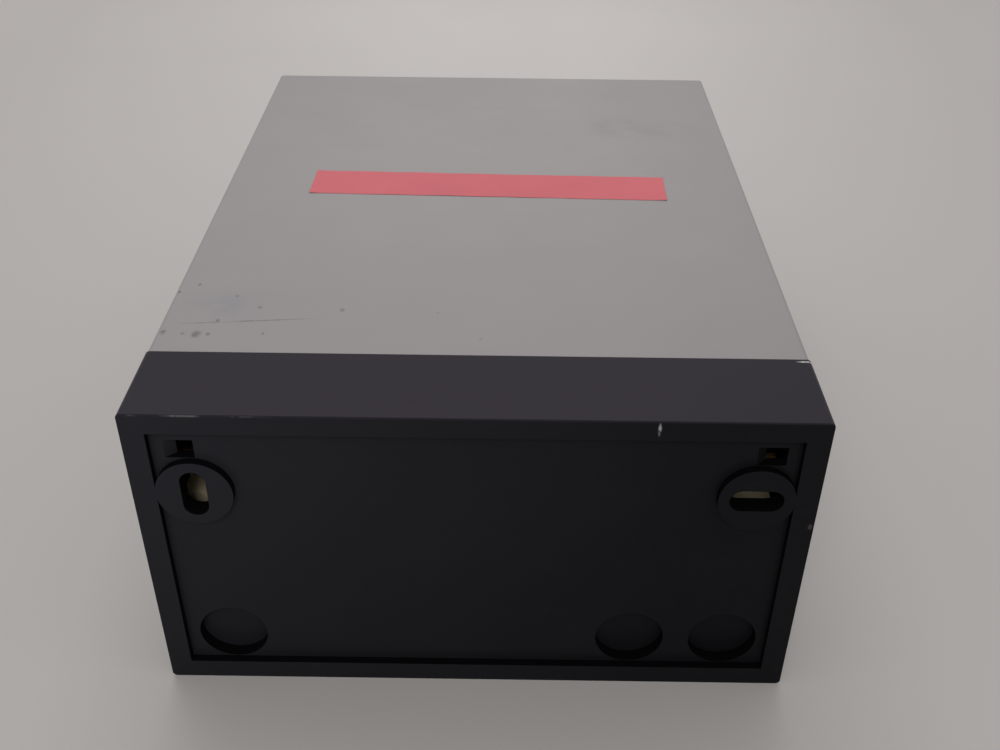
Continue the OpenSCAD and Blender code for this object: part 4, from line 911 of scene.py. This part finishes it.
def panel_print():
    sheet = front_sheet(PANEL_Y)
    ink = bmesh.new()
    for joint, marks in KNOB_MARKS.items():
        knob_scale(ink, sheet, axis_of(joint), marks)
    selector = axis_of("mode_turn")
    band(ink, sheet, selector, MODE_RING, 0.3, -60, 60)
    ticks(ink, sheet, selector, range(-60, 61, 30), MODE_RING, MODE_RING + 2, 0.5)
    for step, text in enumerate(MODES):
        words(ink, sheet, text, round_from(selector, MODE_WORDS, 30 * step - 60), 3.3)
    x, z = round_from(selector, 22, 60)
    box_line(ink, sheet, x - 2, z - 1.2, x + 2, z + 1.2, 0.3)
    stroke(ink, sheet, (x + 2.2, z), (x + 2.8, z), 1.1)
    low, high = (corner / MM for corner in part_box("meter_lens"))
    box_line(ink, sheet, low.x + 1.85, 40.4, high.x - 1.85, high.z, 0.45)
    rocker = middle_of("rocker_housing")
    stroke(ink, sheet, (rocker[0], rocker[1] + 12), (rocker[0], rocker[1] + 14.6), 0.45)
    band(ink, sheet, (rocker[0], rocker[1] - 12.6), 1.1, 0.4)
    socket = middle_of("bnc_shell")
    band(ink, sheet, socket, 8.1, 0.3)
    words(ink, sheet, "pH", (socket[0], socket[1] + SOCKET_WORD_UP), 3.3)
    low, high = (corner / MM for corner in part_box("jack_collars"))
    radius = (high.z - low.z) / 2
    earth, probe = (low.x + radius, socket[1]), (high.x - radius, socket[1])
    for centre in (earth, probe):
        band(ink, sheet, centre, radius + 1.1, 0.3)
    words(ink, sheet, "°C", (probe[0], probe[1] + SOCKET_WORD_UP), 3.3)
    foot = earth[1] + SOCKET_WORD_UP - 0.1
    stroke(ink, sheet, (earth[0], foot), (earth[0], foot + 1.9), 0.35)
    for step in range(3):
        half = 1.9 - 0.6 * step
        height = foot - 0.8 * step
        stroke(ink, sheet, (earth[0] - half, height), (earth[0] + half, height), 0.35)
    to_piece(ink, "panel_print", "needle_black", rounded=False, finish_name="ink_charcoal")


panel_print()
print("panel face at", PANEL_Y)

# %% [markdown]
# A white line is wiped into each knob's pointer groove. The groove is in the CAD solid, and here it is
# filled to just under its edge. Each line rides on its knob's body, so it turns with the knob.

# %% Pointers
SMALL_TOP = (PANEL_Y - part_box("temperature_knob")[0].y) / MM
SMALL_CAP_TOP = (PANEL_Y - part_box("temperature_knob_cap")[0].y) / MM
SELECTOR_TOP = (PANEL_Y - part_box("mode_knob")[0].y) / MM


def inlay(name, body, joint, inner, outer, width, floor, top):
    x, z = axis_of(joint)
    line = bmesh.new()
    middle = (x, z + (inner + outer) / 2, (floor + top) / 2)
    bmesh.ops.create_cube(line, size=1, matrix=Matrix.Translation(middle)
                          @ Matrix.Diagonal((width, outer - inner, top - floor, 1)))
    bmesh.ops.bevel(line, geom=line.edges[:], offset=0.08, offset_type="OFFSET", segments=2, profile=0.5,
                    affect="EDGES", material=-1)
    bmesh.ops.transform(line, matrix=front_sheet(PANEL_Y), verts=line.verts)
    to_piece(line, name, "dial_white", body, finish_name="ink_white")


for body in ("temperature", "buffer", "slope"):
    joint = body + "_turn"
    inlay(body + "_cap_line", body, joint, 1.7, 6.7, 0.8, SMALL_CAP_TOP - 0.4, SMALL_CAP_TOP - 0.12)
    inlay(body + "_pointer", body, joint, 7.1, 9.1, 0.95, SMALL_TOP - 0.5, SMALL_TOP - 0.08)
inlay("mode_pointer", "mode", "mode_turn", 10.6, 13.0, 0.95, SELECTOR_TOP - 0.6, SELECTOR_TOP - 0.1)

# %% [markdown]
# The rocker has the line and the circle of an on and off switch. Its two halves slope, so each mark
# gets a sheet of its own, laid on the rocker where a ray from the front meets it.

# %% Rocker marks


def sheet_on(tree, x, z):
    hit, outwards, _, _ = tree.ray_cast(Vector((x * MM, -1, z * MM)), Vector((0, 1, 0)))
    across = Vector((1, 0, 0))
    upwards = outwards.cross(across)
    axes = Matrix((across, upwards, outwards)).transposed().to_4x4()
    return Matrix.Translation(hit) @ axes @ Matrix.Scale(MM, 4)


def rocker_marks():
    tree = tree_of(NODES["power_rocker"])
    x, z = middle_of("rocker_housing")
    ink = bmesh.new()
    stroke(ink, sheet_on(tree, x, z + 4), (0, -1.5), (0, 1.5), 0.5)
    band(ink, sheet_on(tree, x, z - 4), (0, 0), 1.4, 0.5)
    to_piece(ink, "rocker_marks", "dial_white", "rocker", rounded=False, finish_name="ink_white")


rocker_marks()

# %% [markdown]
# The stage is a pale floor, with painted shade that makes it darker near the camera and to the sides. The
# light is a big soft window beyond the instrument, so that its back falls into shade while its top stays pale.

# %% Stage and light


def pale_floor():
    tree, shader = finish("pale_floor", Roughness=0.6)
    # Painted shade: the floor is darker towards the camera.
    depth = levels(tree, coordinate(tree, "Y"), -0.5, 0.2)
    body = mix(tree, depth, srgb(196, 191, 188), srgb(168, 164, 161))
    drift = levels(tree, grain(tree, 3, 4, 0.6), 0.3, 0.7, 0.0, 0.3)
    body = mix(tree, drift, body, srgb(176, 172, 169))
    # Painted shade: the floor is darker towards the sides.
    body = mix(tree, levels(tree, sideways(tree), 0.06, 0.32, 0.0, 0.5), body, srgb(156, 151, 148))
    wire(tree, shader, Base_Color=body)


def stage():
    pale_floor()
    shape = bmesh.new()
    bmesh.ops.create_grid(shape, x_segments=1, y_segments=1, size=8)
    mesh = bpy.data.meshes.new("floor")
    shape.to_mesh(mesh)
    shape.free()
    mesh.materials.append(FINISH["pale_floor"])
    floor = bpy.data.objects.new("floor", mesh)
    bpy.context.collection.objects.link(floor)


def soft_light(name, at, aim, size, power):
    data = bpy.data.lights.new(name, "AREA")
    data.shape = "RECTANGLE"
    data.size = size[0]
    data.size_y = size[1]
    data.energy = power
    lamp = bpy.data.objects.new(name, data)
    bpy.context.collection.objects.link(lamp)
    turn = (Vector(aim) - Vector(at)).to_track_quat("-Z", "Y").to_matrix().to_4x4()
    lamp.matrix_world = Matrix.Translation(at) @ turn


stage()
soft_light("ceiling", (0.12, -0.6, 1.25), (0, 0, 0), (1.0, 0.9), 5.6)
soft_light("beside_camera", (0.1, 0.95, 0.82), (0, 0.12, 0.06), (0.4, 0.4), 4)
world = bpy.data.worlds.new("room")
world.use_nodes = True
world.node_tree.nodes["Background"].inputs["Color"].default_value = (0.98, 0.97, 0.97, 1)
world.node_tree.nodes["Background"].inputs["Strength"].default_value = 0.65
bpy.context.scene.world = world
bpy.context.scene.view_settings.view_transform = "Standard"

# %% [markdown]
# The last cell checks the drawing against the photograph. A corner is where the nearest vertex of the
# finished mesh that the camera sees shows, an opening or a label is the middle of what shows of it, and a
# mark is the place its ray found.

# %% Points
SLOT_MIDDLES = [[mount["pos_m"][0], mount["pos_m"][2]] for name in ("upright_slot", "level_slot")
                for mount in frame["record"]["mounts"] if mount["name"] == name]


def visible(item, trees):
    """The picture places of a piece's vertices that nothing hides, each with its place in space."""
    found = []
    for vert in item.data.vertices:
        ray = vert.co - CAMERA_AT
        reach = ray.length - 0.3 * MM
        if all(tree.ray_cast(CAMERA_AT, ray.normalized(), reach)[0] is None for tree in trees):
            found.append((in_picture(vert.co), vert.co.copy()))
    return found


def span_middle(spots):
    return Vector(((min(p.x for p in spots) + max(p.x for p in spots)) / 2,
                   (min(p.y for p in spots) + max(p.y for p in spots)) / 2))


def check_points():
    trees = [tree_of(sleeve), tree_of(housing)]
    on_sleeve, on_housing = visible(sleeve, trees), visible(housing, trees)
    both = [spot for spot, _ in on_sleeve + on_housing]
    low, high = (Vector(corner) for corner in CAD_BOX)
    front, seam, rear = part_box("case_sleeve")[0].y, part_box("case_sleeve")[1].y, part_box("rear_housing")[1].y

    def corner(spots, x, y, z):
        return min(spots, key=lambda pair: (pair[1] - Vector((x, y, z))).length)[0]

    def slot(x, z):
        return span_middle([spot for spot, at in on_housing
                            if (at - Vector((x, rear, z))).length < 8.4 * MM and at.y > rear - 0.5 * MM])

    shown = {
        "left_x": min(p.x for p in both), "right_x": max(p.x for p in both),
        "top_y": min(p.y for p in both), "bottom_y": max(p.y for p in both),
        "far_left": corner(on_sleeve, high.x, front, high.z),
        "far_right": corner(on_sleeve, low.x, front, high.z),
        "seam_left": corner(on_housing, high.x, seam, high.z),
        "seam_right": corner(on_housing, low.x, seam, high.z),
        "rear_left": corner(on_housing, high.x, rear, high.z),
        "rear_right": corner(on_housing, low.x, rear, high.z),
        "foot_left": corner(on_housing, high.x, rear, 0),
        "foot_right": corner(on_housing, low.x, rear, 0),
        "label": span_middle([spot for spot, _ in visible(label, trees)]),
        "upright_slot": slot(*SLOT_MIDDLES[0]), "level_slot": slot(*SLOT_MIDDLES[1]),
    }
    for name, found in MARKS.items():
        shown[name] = in_picture(found)
    away = {}
    for name, found in shown.items():
        if isinstance(found, float):
            away[name] = round(found - POINTS[name], 1)
        else:
            away[name] = [round(found.x - POINTS[name][0], 1), round(found.y - POINTS[name][1], 1)]
    return away


away = check_points()
print("from their points:", away)
